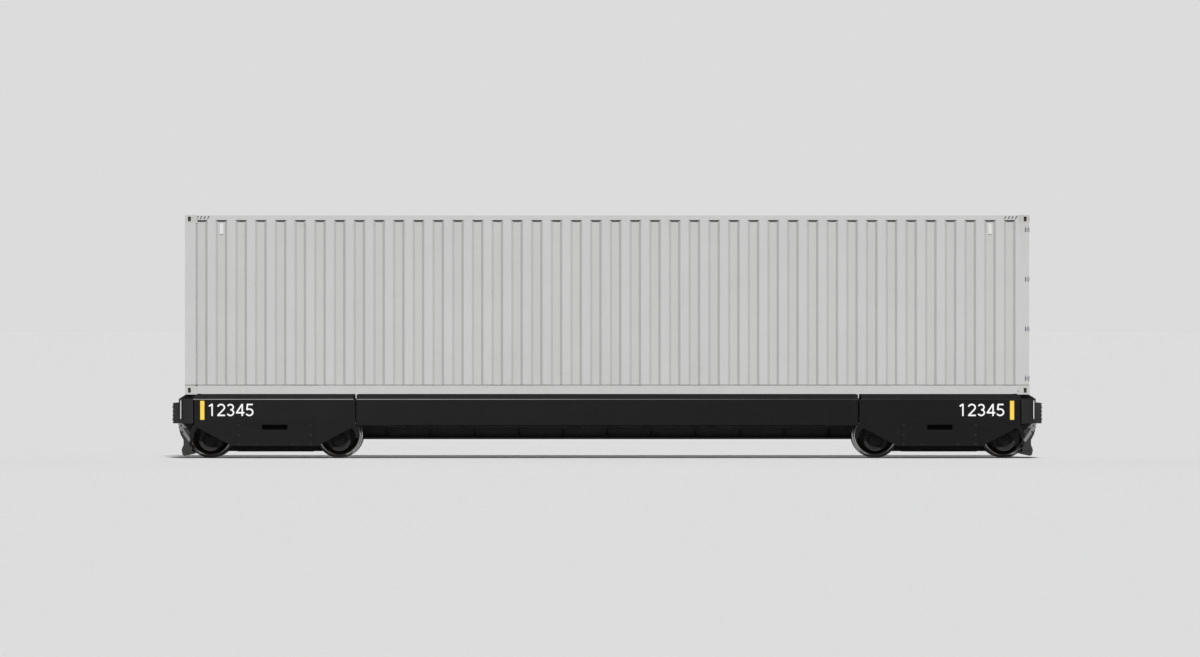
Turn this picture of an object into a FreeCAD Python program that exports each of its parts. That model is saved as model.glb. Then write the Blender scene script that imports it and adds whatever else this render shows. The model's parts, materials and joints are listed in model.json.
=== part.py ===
import FreeCAD, Part
import math
import os
import re
import Sketcher
from FreeCAD import Placement, Rotation, Vector

# A low battery-electric rail flatcar with a 40 ft container locked on it.
#
# Frame: +X points to the end with the container's doors (the rear), +Y to the
# right of someone facing the front, +Z up.  The origin is on the ground under
# the middle of the car.  The two end units, with their bogies, mirror each other
# in X, and left and right mirror each other in Y, so most pieces are drawn once,
# at the rear or on the right, and mirrored.  Lengths are in millimetres.

DIMENSIONS = {
    # the container's envelope and its corner castings
    "box_length": 12192, "box_width": 2438, "box_height": 2591,
    "casting_long": 178, "casting_wide": 162, "casting_tall": 118,
    "casting_wall": 26, "casting_hole_inset": 103.5, "casting_hole_side": 89.5,
    "slot_long": 124, "slot_wide": 63.5, "side_hole_tall": 72, "side_hole_wide": 42,
    "side_hole_inset": 64,
    # the container's frame
    "base_gap": 12, "rail_tall": 138, "rail_deep": 48, "rail_plate": 6,
    "top_rail_tall": 65, "top_rail_wide": 60, "top_drop": 6,
    "front_post_long": 158, "rear_post_long": 203, "post_wide": 80,
    "end_beam_long": 60, "end_beam_inset": 6, "door_beam": 130, "header_drop": 40,
    "floor_thick": 28,
    # the folded sheet of its walls and roof
    "sheet": 2, "wall_inset": 4, "wall_depth": 36,
    "wall_slope": 36, "wall_flat": 97, "wall_valleys": 42,
    "end_depth": 45, "end_slope": 40, "end_flat": 110, "end_valleys": 8,
    "roof_depth": 18, "roof_slope": 18, "roof_flat": 90, "roof_valleys": 56,
    "vent_wide": 46, "vent_tall": 150, "vent_deep": 12, "vent_height": 3308,
    # the doors
    "leaf_face": 6040, "leaf_thick": 50, "leaf_skin": 14, "leaf_gap": 8,
    "leaf_side": 1134, "leaf_bottom": 1078, "leaf_top": 3372, "leaf_border": 60,
    "recess_wide": 150, "rod_radius": 17, "rod_near": 260, "rod_far": 880,
    "handle_height": 1720, "handle_long": 295, "handle_tall": 36, "handle_thick": 8,
    "root_deep": 20, "root_half": 22, "root_tall": 52,
    "pin_forward": 6078, "pin_side": 1196, "pin_radius": 9, "pin_play": 0.05,
    "knuckle_radius": 18, "knuckle_tall": 60, "notch_tall": 98, "notch_back": 6030,
    "strap_thick": 10, "strap_reach": 150, "lug_thick": 12, "lug_play": 1,
    "lug_half": 16, "web_half": 15, "guide_half": 34, "guide_tall": 60,
    "first_hinge": 1150, "hinge_step": 716,
    # the flatcar's body
    "deck_top": 920, "deck_edge": 856, "deck_half": 1225, "side_half": 1298,
    "strip_proud": 2, "strip_tall": 10,
    "knee": 555, "middle_bottom": 475, "lean": 12, "plate": 16,
    "middle_half": 3620, "slab_start": 3665,
    "sill_half": 330, "sill_low": 271, "sill_end": 3560, "unit_floor": 700,
    "flange_half": 420, "flange_thick": 30, "bulkhead": 3400,
    "bolster_half": 350, "battery_half": 3000, "battery_side": 1200, "battery_low": 500,
    "lock_stem": 27, "lock_rise": 40, "lock_head": 45, "lock_tip": 12,
    # the end units' skirts, measured along from the bogie's pivot
    "pivot": 4800, "skirt_half": 1160, "skirt_low": 178, "flat_half": 618,
    "arch_reach": 1100, "arch_height": 438, "arm_reach": 1229, "arm_inner": 1170,
    "arm_low": 296, "arm_top": 489, "arm_corner": 27, "arm_slope": 62,
    "arm_drop": 151, "arm_bend": 8, "arm_bend_rise": 62, "arm_fold": 38, "arm_fold_rise": 122,
    "panel_half": 561, "panel_top": 495, "seam": 3,
    "slot_half": 183, "slot_low": 414, "slot_high": 483,
    # the noses, bumpers, lamps and pilots
    "nose_start": 5975, "nose_end": 6190, "nose_half": 1000, "nose_wall": 30,
    "nose_low": 500, "nose_lip": 15, "deck_end": 6090, "deck_end_half": 960, "deck_taper": 40,
    "bumper_end": 6290, "bumper_half": 870, "bumper_low": 502, "bumper_high": 798,
    "bumper_flare": 60, "lamp_low": 564, "lamp_high": 837, "lamp_from": 6146,
    "lamp_long": 20, "lamp_proud": 9,
    "blade_back": 6098, "blade_face": 6131, "blade_nose": 6147,
    "blade_low": 33, "blade_mid": 120, "blade_high": 165, "blade_half": 1150,
    "hanger_side": 1080, "hanger_back": 5995, "hanger_heel": 5940, "hanger_low": 69,
    "stay_foot": 244, "stay_top": 475, "stay_knee": 440, "strut_tip": 13,
    "strut_front": 150, "strut_back": 182, "bracket_in": 48, "bracket_out": 12,
    "bracket_tip": 85, "bracket_low": 429, "bracket_heel": 116, "bracket_back": 460,
    "neck_back": 60, "neck_front": 10, "neck_height": 408, "throat": 30,
    "throat_height": 336, "waist": 70, "waist_high": 264, "waist_low": 192,
    "toe": 6065, "toe_height": 40, "toe_lift": 10, "heel_front": 21, "heel_back": 25,
    "blade_ease": 15,
    # the bogies
    "axle_offset": 930, "axle_height": 338, "axle_radius": 80, "journal": 60,
    "journal_play": 0.05, "axle_half": 1000, "wheel_back": 680, "wheel_face": 815,
    "tread": 310, "flange_tip": 338, "flange_wide": 32, "rim_inner": 262,
    "hub_radius": 135, "web_thick": 24, "web_inset": 58, "axle_play": 10,
    "beam_in": 870, "beam_out": 1010, "beam_low": 425, "beam_high": 600,
    "beam_half": 1060, "box_half": 150, "box_low": 205,
    "transom_half": 190, "transom_low": 470,
    "bearing_radius": 250, "bearing_gap": 0.3, "centre_pin": 60, "pin_low": 540,
    "case_half": 700, "case_side": 600, "case_low": 98,
    "motor_radius": 165, "motor_drop": 71, "motor_face": 1060, "motor_dish": 112,
    "motor_dish_deep": 25,
}

doc = FreeCAD.newDocument("flatcar_with_container")
sheet = doc.addObject("Spreadsheet::Sheet", "Dims")
for line, (alias, value) in enumerate(DIMENSIONS.items(), start=1):
    sheet.set("A%d" % line, alias.replace("_", " "))
    sheet.set("B%d" % line, str(value))
    sheet.setAlias("B%d" % line, alias)
doc.recompute()

nodes = []


# ---------------------------------------------------------------- helpers

def link(formula):
    """Point every dimension named in a formula at its cell of the sheet."""
    def cell(found):
        word = found.group()
        return "Dims." + word if word in DIMENSIONS else word
    return re.sub(r"[a-z_]+", cell, str(formula))


def node(label, piece):
    """Give a finished sub-part its name and put it on the list to write out."""
    piece.Label = label
    nodes.append(piece)
    return piece


def block(name, x, y, z):
    """A box between a low and a high formula along each axis."""
    made = doc.addObject("Part::Box", name)
    sizes = ("Length", "Width", "Height")
    for size, place, (low, high) in zip(sizes, "xyz", (x, y, z)):
        made.setExpression(size, link("(%s) - (%s)" % (high, low)))
        made.setExpression("Placement.Base." + place, link(low))
    return made


TURNS = {"x": Rotation(Vector(0, 1, 0), 90), "y": Rotation(Vector(1, 0, 0), -90),
         "z": Rotation()}


def rod(name, axis, radius, start, length):
    """A cylinder that runs from its start along one axis."""
    made = doc.addObject("Part::Cylinder", name)
    made.Placement = Placement(Vector(), TURNS[axis])
    made.setExpression("Radius", link(radius))
    made.setExpression("Height", link(length))
    for place, formula in zip("xyz", start):
        made.setExpression("Placement.Base." + place, link(formula))
    return made


PLANES = {"x": "YZ_Plane", "y": "XZ_Plane", "z": "XY_Plane"}


def polygon(body, name, axis, corners, start="0"):
    """A closed sketch across an axis, each corner placed by its two formulas."""
    sketch = body.newObject("Sketcher::SketchObject", name)
    roles = {feature.Role: feature for feature in body.Origin.OriginFeatures}
    sketch.AttachmentSupport = [(roles[PLANES[axis]], "")]
    sketch.MapMode = "FlatFace"
    # the XZ plane's own normal points along -Y
    offset = "-(%s)" % start if axis == "y" else start
    sketch.setExpression("AttachmentOffset.Base.z", link(offset))
    count = len(corners)
    ring = [Vector(100 * math.cos(2 * math.pi * turn / count),
                   100 * math.sin(2 * math.pi * turn / count), 0) for turn in range(count)]
    for side in range(count):
        sketch.addGeometry(Part.LineSegment(ring[side], ring[(side + 1) % count]), False)
    for side in range(count):
        sketch.addConstraint(Sketcher.Constraint("Coincident", side, 2, (side + 1) % count, 1))
    for side, formulas in enumerate(corners):
        for kind, formula, now in zip(("DistanceX", "DistanceY"), formulas, ring[side]):
            place = sketch.addConstraint(Sketcher.Constraint(kind, -1, 1, side, 1, now))
            sketch.setExpression("Constraints[%d]" % place, link(formula))
    return sketch


def prism(name, axis, corners, start, length):
    """A body whose outline is drawn across an axis and padded along it."""
    body = doc.addObject("PartDesign::Body", name)
    sketch = polygon(body, name + "_outline", axis, corners, start)
    pad = body.newObject("PartDesign::Pad", name + "_pad")
    pad.Profile = sketch
    pad.Reversed = axis == "y"
    pad.setExpression("Length", link(length))
    return body


def mirror(name, piece, axis):
    """The piece's image in the plane through the origin across an axis."""
    made = doc.addObject("Part::Mirroring", name)
    made.Source = piece
    made.Base = Vector()
    made.Normal = Vector(*(1 if letter == axis else 0 for letter in "xyz"))
    return made


def join(name, pieces):
    """Pieces that touch, as one solid."""
    made = doc.addObject("Part::MultiFuse", name)
    made.Shapes = pieces
    made.Refine = True
    return made


def group(name, pieces):
    """Like pieces that stay apart, as one compound."""
    made = doc.addObject("Part::Compound", name)
    made.Links = pieces
    return made


def cut(name, base, tools):
    """A piece with one or more others taken out of it."""
    made = doc.addObject("Part::Cut", name)
    made.Base = base
    made.Tool = tools[0] if len(tools) == 1 else group(name + "_tools", tools)
    return made


def common(name, first, second):
    """What two pieces share."""
    made = doc.addObject("Part::MultiCommon", name)
    made.Shapes = [first, second]
    return made


def pair(name, piece, axis):
    """A piece and its mirror image, as one compound."""
    return group(name, [piece, mirror(name + "_image", piece, axis)])


def folded_sheet(name, start, crest, sizes, count, span, turn):
    """Sheet folded into a row of trapezoid valleys, standing between two heights.

    The row starts with a valley at `start`, its crests at `crest`; `sizes` are
    the slope's run, the valley's flat, the pitch and the depth.  `turn` swaps a
    corner's two coordinates for a wall that runs across the car.
    """
    slope, flat, pitch, depth = sizes
    body = doc.addObject("PartDesign::Body", name)
    fold = [("0", "0"), (slope, depth), ("%s + %s" % (slope, flat), depth),
            ("2 * %s + %s" % (slope, flat), "0")]
    cell = fold + [(pitch, "0")]

    def strip(label, line, shift):
        near = [("%s + %s + %s" % (start, shift, along), "%s + %s" % (crest, deep))
                for along, deep in line]
        far = [(along, across + " + sheet") for along, across in reversed(near)]
        corners = [(across, along) for along, across in near + far] if turn == "y" else near + far
        axis = "y" if turn == "z" else "z"
        sketch = polygon(body, name + label, axis, corners, span[0])
        pad = body.newObject("PartDesign::Pad", name + label + "_pad")
        pad.Profile = sketch
        pad.Reversed = axis == "y"
        pad.setExpression("Length", link("(%s) - (%s)" % (span[1], span[0])))
        return sketch, pad

    sketch, first = strip("_cell", cell, "0")
    row = body.newObject("PartDesign::LinearPattern", name + "_row")
    row.Originals = [first]
    row.Direction = (sketch, ["V_Axis" if turn == "y" else "H_Axis"])
    row.setExpression("Length", link("(%s - 2) * %s" % (count, pitch)))
    row.setExpression("Occurrences", link("%s - 1" % count))
    body.Tip = row
    strip("_last", fold, "(%s - 1) * %s" % (count, pitch))
    return body


# ---------------------------------------------------------------- the container

BOX_HALF = "box_length / 2"
BOX_SIDE = "box_width / 2"
BOX_TOP = "deck_top + box_height"
RAIL_TOP = "deck_top + rail_tall"
TOP_RAIL_LOW = "deck_top + box_height - top_drop - top_rail_tall"
CASTING_TOP = "deck_top + casting_tall"
CASTING_LOW = "deck_top + box_height - casting_tall"


def corner_castings():
    """Eight hollow castings, each with a slot and two holes for locks and hooks."""
    body = block("casting", (f"{BOX_HALF} - casting_long", BOX_HALF),
                 (f"{BOX_SIDE} - casting_wide", BOX_SIDE), ("deck_top", CASTING_TOP))
    hollow = block("casting_hollow",
                   (f"{BOX_HALF} - casting_long + casting_wall", f"{BOX_HALF} - casting_wall"),
                   (f"{BOX_SIDE} - casting_wide + casting_wall", f"{BOX_SIDE} - casting_wall"),
                   ("deck_top + casting_wall", f"{CASTING_TOP} - casting_wall"))
    middle_x = f"{BOX_HALF} - casting_hole_inset"
    middle_y = f"{BOX_SIDE} - casting_hole_side"
    slot = block("casting_slot", (f"{middle_x} - slot_long / 2", f"{middle_x} + slot_long / 2"),
                 (f"{middle_y} - slot_wide / 2", f"{middle_y} + slot_wide / 2"),
                 ("deck_top - 1", "deck_top + casting_wall + 1"))
    low = "deck_top + casting_tall / 2 - side_hole_tall / 2"
    high = "deck_top + casting_tall / 2 + side_hole_tall / 2"
    outer_x = f"{BOX_HALF} - side_hole_inset"
    side = block("casting_side_hole",
                 (f"{outer_x} - side_hole_wide / 2", f"{outer_x} + side_hole_wide / 2"),
                 (f"{BOX_SIDE} - casting_wall - 1", f"{BOX_SIDE} + 1"), (low, high))
    end = block("casting_end_hole", (f"{BOX_HALF} - casting_wall - 1", f"{BOX_HALF} + 1"),
                (f"{middle_y} - side_hole_wide / 2", f"{middle_y} + side_hole_wide / 2"), (low, high))
    bottom = cut("bottom_casting", body, [hollow, slot, side, end])
    top = doc.addObject("Part::Mirroring", "top_casting")
    top.Source = bottom
    top.Normal = Vector(0, 0, 1)
    top.setExpression("Base.z", link("deck_top + box_height / 2"))
    quarter = group("casting_quarter", [bottom, top])
    half = pair("casting_half", quarter, "y")
    node("corner_castings", pair("castings", half, "x"))


def container_frame():
    """Rails along the sides and the frames round the two ends."""
    across = (f"{BOX_SIDE} - casting_wide", f"{BOX_SIDE} - post_wide")
    channel = prism("bottom_rail", "x", [
        (BOX_SIDE, "deck_top + base_gap"), (BOX_SIDE, RAIL_TOP),
        (f"{BOX_SIDE} - rail_deep", RAIL_TOP), (f"{BOX_SIDE} - rail_deep", f"{RAIL_TOP} - rail_plate"),
        (f"{BOX_SIDE} - rail_plate", f"{RAIL_TOP} - rail_plate"),
        (f"{BOX_SIDE} - rail_plate", "deck_top + base_gap + rail_plate"),
        (f"{BOX_SIDE} - rail_deep", "deck_top + base_gap + rail_plate"),
        (f"{BOX_SIDE} - rail_deep", "deck_top + base_gap"),
    ], f"casting_long - {BOX_HALF}", f"{BOX_HALF} * 2 - casting_long * 2")
    node("bottom_side_rails", pair("bottom_rails", channel, "y"))

    along = (f"casting_long - {BOX_HALF}", f"{BOX_HALF} - casting_long")
    top = block("top_rail", along, (f"{BOX_SIDE} - wall_inset - top_rail_wide", f"{BOX_SIDE} - wall_inset"),
                (TOP_RAIL_LOW, f"{TOP_RAIL_LOW} + top_rail_tall"))
    node("top_side_rails", pair("top_rails", top, "y"))

    # front: posts between the castings, a sill and a header between the posts
    post = block("front_post", (f"-{BOX_HALF}", f"front_post_long - {BOX_HALF}"),
                 (f"{BOX_SIDE} - post_wide", BOX_SIDE), (CASTING_TOP, CASTING_LOW))
    inner = f"{BOX_SIDE} - casting_wide"
    beam = (f"end_beam_inset - {BOX_HALF}", f"end_beam_inset + end_beam_long - {BOX_HALF}")
    sill = block("front_sill", beam, (f"-({inner})", inner), ("deck_top + base_gap", RAIL_TOP))
    header = block("front_header", beam, (f"-({inner})", inner),
                   (TOP_RAIL_LOW, f"{TOP_RAIL_LOW} + top_rail_tall"))
    sill_end = block("front_sill_end", beam, (f"{across[0]}", across[1]), (CASTING_TOP, RAIL_TOP))
    tip = block("front_header_end", beam, (f"{across[0]}", across[1]),
                (f"{CASTING_LOW} - header_drop", CASTING_LOW))
    upper = block("front_header_drop", beam, (f"-({inner})", inner),
                  (f"{CASTING_LOW} - header_drop", TOP_RAIL_LOW))
    plate = block("front_header_plate", (beam[1], f"casting_long - {BOX_HALF}"), (f"-({inner})", inner),
                  (f"{BOX_TOP} - top_drop - rail_plate", f"{BOX_TOP} - top_drop"))
    half = [post, sill_end, tip]
    images = [mirror(piece.Name + "_image", piece, "y") for piece in half]
    node("front_end_frame", join("front_frame", half + images + [sill, header, upper, plate]))

    # rear: deeper posts, notched for the hinges
    post = block("rear_post", (f"{BOX_HALF} - casting_long", f"{BOX_HALF} - end_beam_inset"),
                 (f"{BOX_SIDE} - post_wide", BOX_SIDE), (CASTING_TOP, CASTING_LOW))
    edge = block("rear_post_edge", (f"{BOX_HALF} - rear_post_long", f"{BOX_HALF} - casting_long"),
                 (f"{BOX_SIDE} - post_wide", BOX_SIDE), (RAIL_TOP, TOP_RAIL_LOW))
    notches, lugs = [], []
    for count in range(4):
        height = "first_hinge + %d * hinge_step" % count
        notches.append(block("notch_%d" % count, ("notch_back", f"{BOX_HALF} + 1"),
                             (f"{BOX_SIDE} - post_wide - 1", f"{BOX_SIDE} + 1"),
                             (f"{height} - notch_tall / 2", f"{height} + notch_tall / 2")))
        lugs.append(rod("hinge_pin_%d" % count, "z", "pin_radius",
                        ("pin_forward", "pin_side", f"{height} - notch_tall / 2"), "notch_tall"))
        gap = "(knuckle_tall / 2 + lug_play)"
        for side, low in (("under", f"{height} - {gap} - lug_thick"), ("over", f"{height} + {gap}")):
            lugs.append(block("lug_%s_%d" % (side, count), ("notch_back", "pin_forward + lug_half"),
                              ("pin_side - lug_half", "pin_side + lug_half"), (low, f"{low} + lug_thick")))
    notched = cut("rear_post_notched", post, notches)
    side = join("rear_post_hinged", [notched, edge] + lugs)
    beam = (f"{BOX_HALF} - end_beam_inset - door_beam", f"{BOX_HALF} - end_beam_inset")
    sill = block("rear_sill", beam, (f"-({inner})", inner), ("deck_top + base_gap", "leaf_bottom - 8"))
    header = block("rear_header", beam, (f"-({inner})", inner),
                   ("leaf_top + 8", f"{TOP_RAIL_LOW} + top_rail_tall"))
    sill_end = block("rear_sill_end", (f"{BOX_HALF} - end_beam_inset - door_beam", "notch_back"),
                     (f"{across[0]}", across[1]), (CASTING_TOP, "leaf_bottom - 8"))
    tip = block("rear_header_end", (f"{BOX_HALF} - end_beam_inset - door_beam", "notch_back"),
                (f"{across[0]}", across[1]), ("leaf_top + 8", CASTING_LOW))
    plate = block("rear_header_plate", (f"{BOX_HALF} - casting_long", beam[0]), (f"-({inner})", inner),
                  (f"{BOX_TOP} - top_drop - rail_plate", f"{BOX_TOP} - top_drop"))
    half = [side, sill_end, tip]
    images = [mirror(piece.Name + "_image", piece, "y") for piece in half]
    node("rear_door_frame", join("rear_frame", half + images + [sill, header, plate]))


def container_skin():
    """Folded side walls, end wall and roof, the timber floor and the vents."""
    start = f"front_post_long - {BOX_HALF}"
    length = "(box_length - front_post_long - rear_post_long)"
    valley = "(2 * wall_slope + wall_flat)"
    pitch = f"(({length} - {valley}) / (wall_valleys - 1))"
    folded = folded_sheet("left_wall", start, f"wall_inset - {BOX_SIDE}",
                          ("wall_slope", "wall_flat", pitch, "wall_depth"), "wall_valleys",
                          (RAIL_TOP, TOP_RAIL_LOW), "x")
    corner = block("casting_corner", (f"-{BOX_HALF}", f"casting_long - {BOX_HALF}"),
                   (f"-{BOX_SIDE}", "0"), (CASTING_LOW, BOX_TOP))
    left = cut("left_wall_trimmed", folded, [corner])
    node("left_side_wall", left)
    node("right_side_wall", mirror("right_wall", left, "y"))

    side = f"({BOX_SIDE} - post_wide)"
    valley = "(2 * end_slope + end_flat)"
    pitch = f"((2 * {side} - {valley}) / (end_valleys - 1))"
    front = folded_sheet("front_wall", f"-{side}", f"end_beam_inset + 8 - {BOX_HALF}",
                         ("end_slope", "end_flat", pitch, "end_depth"), "end_valleys",
                         (RAIL_TOP, f"{CASTING_LOW} - header_drop"), "y")
    node("front_end_wall", front)

    inner = f"{BOX_SIDE} - wall_inset - top_rail_wide"
    start = f"(casting_long - {BOX_HALF})"
    end = f"({BOX_HALF} - casting_long)"
    valley = "(2 * roof_slope + roof_flat)"
    pitch = f"(({end} - {start} - {valley}) / (roof_valleys - 1))"
    roof = folded_sheet("roof", start, f"{BOX_TOP} - top_drop - 2",
                        ("roof_slope", "roof_flat", pitch, "-roof_depth"), "roof_valleys",
                        (f"-({inner})", inner), "z")
    node("container_roof", roof)

    height = (RAIL_TOP, f"{RAIL_TOP} + floor_thick")
    inner = f"{BOX_SIDE} - wall_inset - wall_depth - sheet"
    between = block("floor_between_walls", (f"front_post_long - {BOX_HALF}", f"{BOX_HALF} - rear_post_long"),
                    (f"-({inner})", inner), height)
    ends = block("floor_between_posts", (f"end_beam_inset + end_beam_long - {BOX_HALF}",
                                         f"{BOX_HALF} - end_beam_inset - door_beam"),
                 (f"post_wide - {BOX_SIDE}", f"{BOX_SIDE} - post_wide"), height)
    node("container_floor", join("floor", [between, ends]))


def ventilators():
    """A small louvred cover in the second valley from each end of each wall."""
    length = "(box_length - front_post_long - rear_post_long)"
    valley = "(2 * wall_slope + wall_flat)"
    pitch = f"(({length} - {valley}) / (wall_valleys - 1))"
    covers = []
    for name, count in (("front", "1"), ("rear", "(wall_valleys - 2)")):
        middle = f"front_post_long - {BOX_HALF} + {valley} / 2 + {count} * {pitch}"
        base = f"{BOX_SIDE} - wall_inset - wall_depth"
        cover = block("vent_" + name, (f"{middle} - vent_wide / 2", f"{middle} + vent_wide / 2"),
                      (base, f"{base} + vent_deep"),
                      ("vent_height - vent_tall / 2", "vent_height + vent_tall / 2"))
        covers.append(pair("vents_" + name, cover, "y"))
    node("ventilators", group("vents", covers))


def doors():
    """The right leaf with its lock rods and hinge straps, and the left's mirror."""
    leaf = block("leaf", ("leaf_face - leaf_thick", "leaf_face"), ("leaf_gap", "leaf_side"),
                 ("leaf_bottom", "leaf_top"))
    height = ("leaf_bottom + leaf_border", "leaf_top - leaf_border")
    recesses = []
    for name, middle in (("near", "rod_near"), ("far", "rod_far")):
        recesses.append(block("recess_" + name, ("leaf_face - leaf_thick + leaf_skin", "leaf_face + 1"),
                              (f"{middle} - recess_wide / 2", f"{middle} + recess_wide / 2"),
                              ("leaf_bottom - 1", "leaf_top + 1")))
    bays = (("leaf_gap + leaf_border", "rod_near - recess_wide / 2 - leaf_skin"),
            ("rod_near + recess_wide / 2 + leaf_skin", "rod_far - recess_wide / 2 - leaf_skin"),
            ("rod_far + recess_wide / 2 + leaf_skin", "leaf_side - leaf_border"))
    for count, side in enumerate(bays):
        recesses.append(block("bay_%d" % count, ("leaf_face - leaf_thick - 1", "leaf_face - leaf_skin"),
                              side, height))
    right = node("right_door", cut("door_leaf", leaf, recesses))
    node("left_door", mirror("left_leaf", right, "y"))

    # two rods, each with four guides that hold it to the leaf, and a handle
    gear = []
    for name, middle in (("near", "rod_near"), ("far", "rod_far")):
        centre = "leaf_face - rod_radius / 2"
        bar = rod("rod_" + name, "z", "rod_radius",
                  (centre, middle, "leaf_bottom + 4"), "leaf_top - leaf_bottom - 8")
        pieces = [bar]
        for count, share in enumerate((0.04, 0.3, 0.7, 0.96)):
            level = "leaf_bottom + %g * (leaf_top - leaf_bottom)" % share
            pieces.append(block("guide_%s_%d" % (name, count),
                                ("leaf_face - leaf_thick + leaf_skin", "leaf_face"),
                                (f"{middle} - guide_half", f"{middle} + guide_half"),
                                (f"{level} - guide_tall / 2", f"{level} + guide_tall / 2")))
        toward = 1 if name == "near" else -1
        ends = (f"{middle} + {toward} * handle_long", middle)
        low, high = ends if toward < 0 else ends[::-1]
        pieces.append(block("handle_" + name, ("leaf_face", "leaf_face + handle_thick"), (low, high),
                            ("handle_height - handle_tall / 2", "handle_height + handle_tall / 2")))
        pieces.append(block("handle_root_" + name, ("leaf_face - root_deep", "leaf_face + handle_thick"),
                            (f"{middle} - root_half", f"{middle} + root_half"),
                            ("handle_height - root_tall / 2", "handle_height + root_tall / 2")))
        gear.append(join("lock_" + name, pieces))
    right = node("right_lock_rods", group("lock_gear", gear))
    node("left_lock_rods", mirror("left_lock_gear", right, "y"))

    straps = []
    for count in range(4):
        middle = "first_hinge + %d * hinge_step" % count
        low, high = f"{middle} - knuckle_tall / 2", f"{middle} + knuckle_tall / 2"
        knuckle = rod("knuckle_%d" % count, "z", "knuckle_radius",
                      ("pin_forward", "pin_side", low), "knuckle_tall")
        web = block("web_%d" % count, ("leaf_face", "pin_forward"), ("pin_side - web_half", "pin_side + web_half"),
                    (low, high))
        strap = block("strap_%d" % count, ("leaf_face", "leaf_face + strap_thick"),
                      ("pin_side - strap_reach", "pin_side"), (low, high))
        bore = rod("knuckle_bore_%d" % count, "z", "pin_radius + pin_play",
                   ("pin_forward", "pin_side", f"{low} - 1"), "knuckle_tall + 2")
        straps.append(cut("hinge_%d" % count, join("hinge_body_%d" % count, [knuckle, web, strap]),
                          [bore]))
    right = node("right_door_hinges", group("hinge_straps", straps))
    node("left_door_hinges", mirror("left_hinge_straps", right, "y"))


# ---------------------------------------------------------------- the flatcar's body

LEAN = "tan(lean * 1 deg)"


def side_at(height, inset="0"):
    """Half-width of the leaning lower side at a height below the knee."""
    return f"side_half - (knee - ({height})) * {LEAN} - ({inset})"


def middle_deck():
    """The deck between the end units: a sandwich floor with folded sides."""
    half = [(side_at("middle_bottom"), "middle_bottom"), ("side_half", "knee"),
            ("side_half", "deck_edge"), ("deck_half", "deck_top")]
    inner = [("side_half - plate", "deck_edge"), ("side_half - plate", "knee"),
             (side_at("middle_bottom", "plate"), "middle_bottom")]
    flip = [(f"-({across})", up) for across, up in half]
    flip_inner = [(f"-({across})", up) for across, up in inner]
    shell = prism("deck_shell", "x", flip + half[::-1] + inner[::-1] + flip_inner,
                  "-middle_half", "2 * middle_half")
    walls = []
    for end, place in (("rear", "bulkhead"), ("front", "-bulkhead")):
        for side, low, high in (("right", "sill_half", "side_half - plate"),
                                ("left", "plate - side_half", "-sill_half")):
            walls.append(block(f"bulkhead_{end}_{side}", (f"{place} - plate / 2", f"{place} + plate / 2"),
                               (low, high), ("knee", "deck_edge")))
    node("middle_deck", join("deck_with_bulkheads", [shell] + walls))


def centre_sill():
    """The box girder that joins the end units, deep between the bogies."""
    reach = "pivot - bolster_half"
    girder = prism("girder", "y", [
        (f"-({reach})", "unit_floor"), ("-sill_end", "unit_floor"), ("-sill_end", "sill_low"),
        ("sill_end", "sill_low"), ("sill_end", "unit_floor"), (reach, "unit_floor"),
        (reach, "deck_edge"), (f"-({reach})", "deck_edge"),
    ], "-sill_half", "2 * sill_half")
    flange = block("bottom_flange", ("-sill_end", "sill_end"), ("-flange_half", "flange_half"),
                   ("sill_low", "sill_low + flange_thick"))
    node("centre_sill", join("sill", [girder, flange]))


def end_decks():
    """The slab over each bogie, its edges chamfered, with the bolster under it."""
    body = doc.addObject("PartDesign::Body", "end_slab")
    lower = polygon(body, "slab_low", "z", [
        ("slab_start", "-side_half"), ("nose_start", "-side_half"), ("nose_end", "-nose_half"),
        ("nose_end", "nose_half"), ("nose_start", "side_half"), ("slab_start", "side_half"),
    ], "deck_edge")
    upper = polygon(body, "slab_high", "z", [
        ("slab_start", "-deck_half"), ("nose_start - deck_taper", "-deck_half"), ("deck_end", "-deck_end_half"),
        ("deck_end", "deck_end_half"), ("nose_start - deck_taper", "deck_half"), ("slab_start", "deck_half"),
    ], "deck_top")
    loft = body.newObject("PartDesign::AdditiveLoft", "slab_loft")
    loft.Profile = lower
    loft.Sections = [upper]
    loft.Ruled = True
    inside = "side_half - plate"
    bolster = block("bolster", ("pivot - bolster_half", "pivot + bolster_half"),
                    (f"-({inside})", inside), ("unit_floor", "deck_edge"))
    stub = block("stub_sill", ("pivot + bolster_half", "nose_start"), ("-sill_half", "sill_half"),
                 ("unit_floor", "deck_edge"))
    pin = rod("centre_pin", "z", "centre_pin", ("pivot", "0", "pin_low"), "unit_floor - pin_low")
    rear = node("rear_end_deck", join("rear_unit_frame", [body, bolster, stub, pin]))
    node("front_end_deck", mirror("front_unit_frame", rear, "x"))


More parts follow.
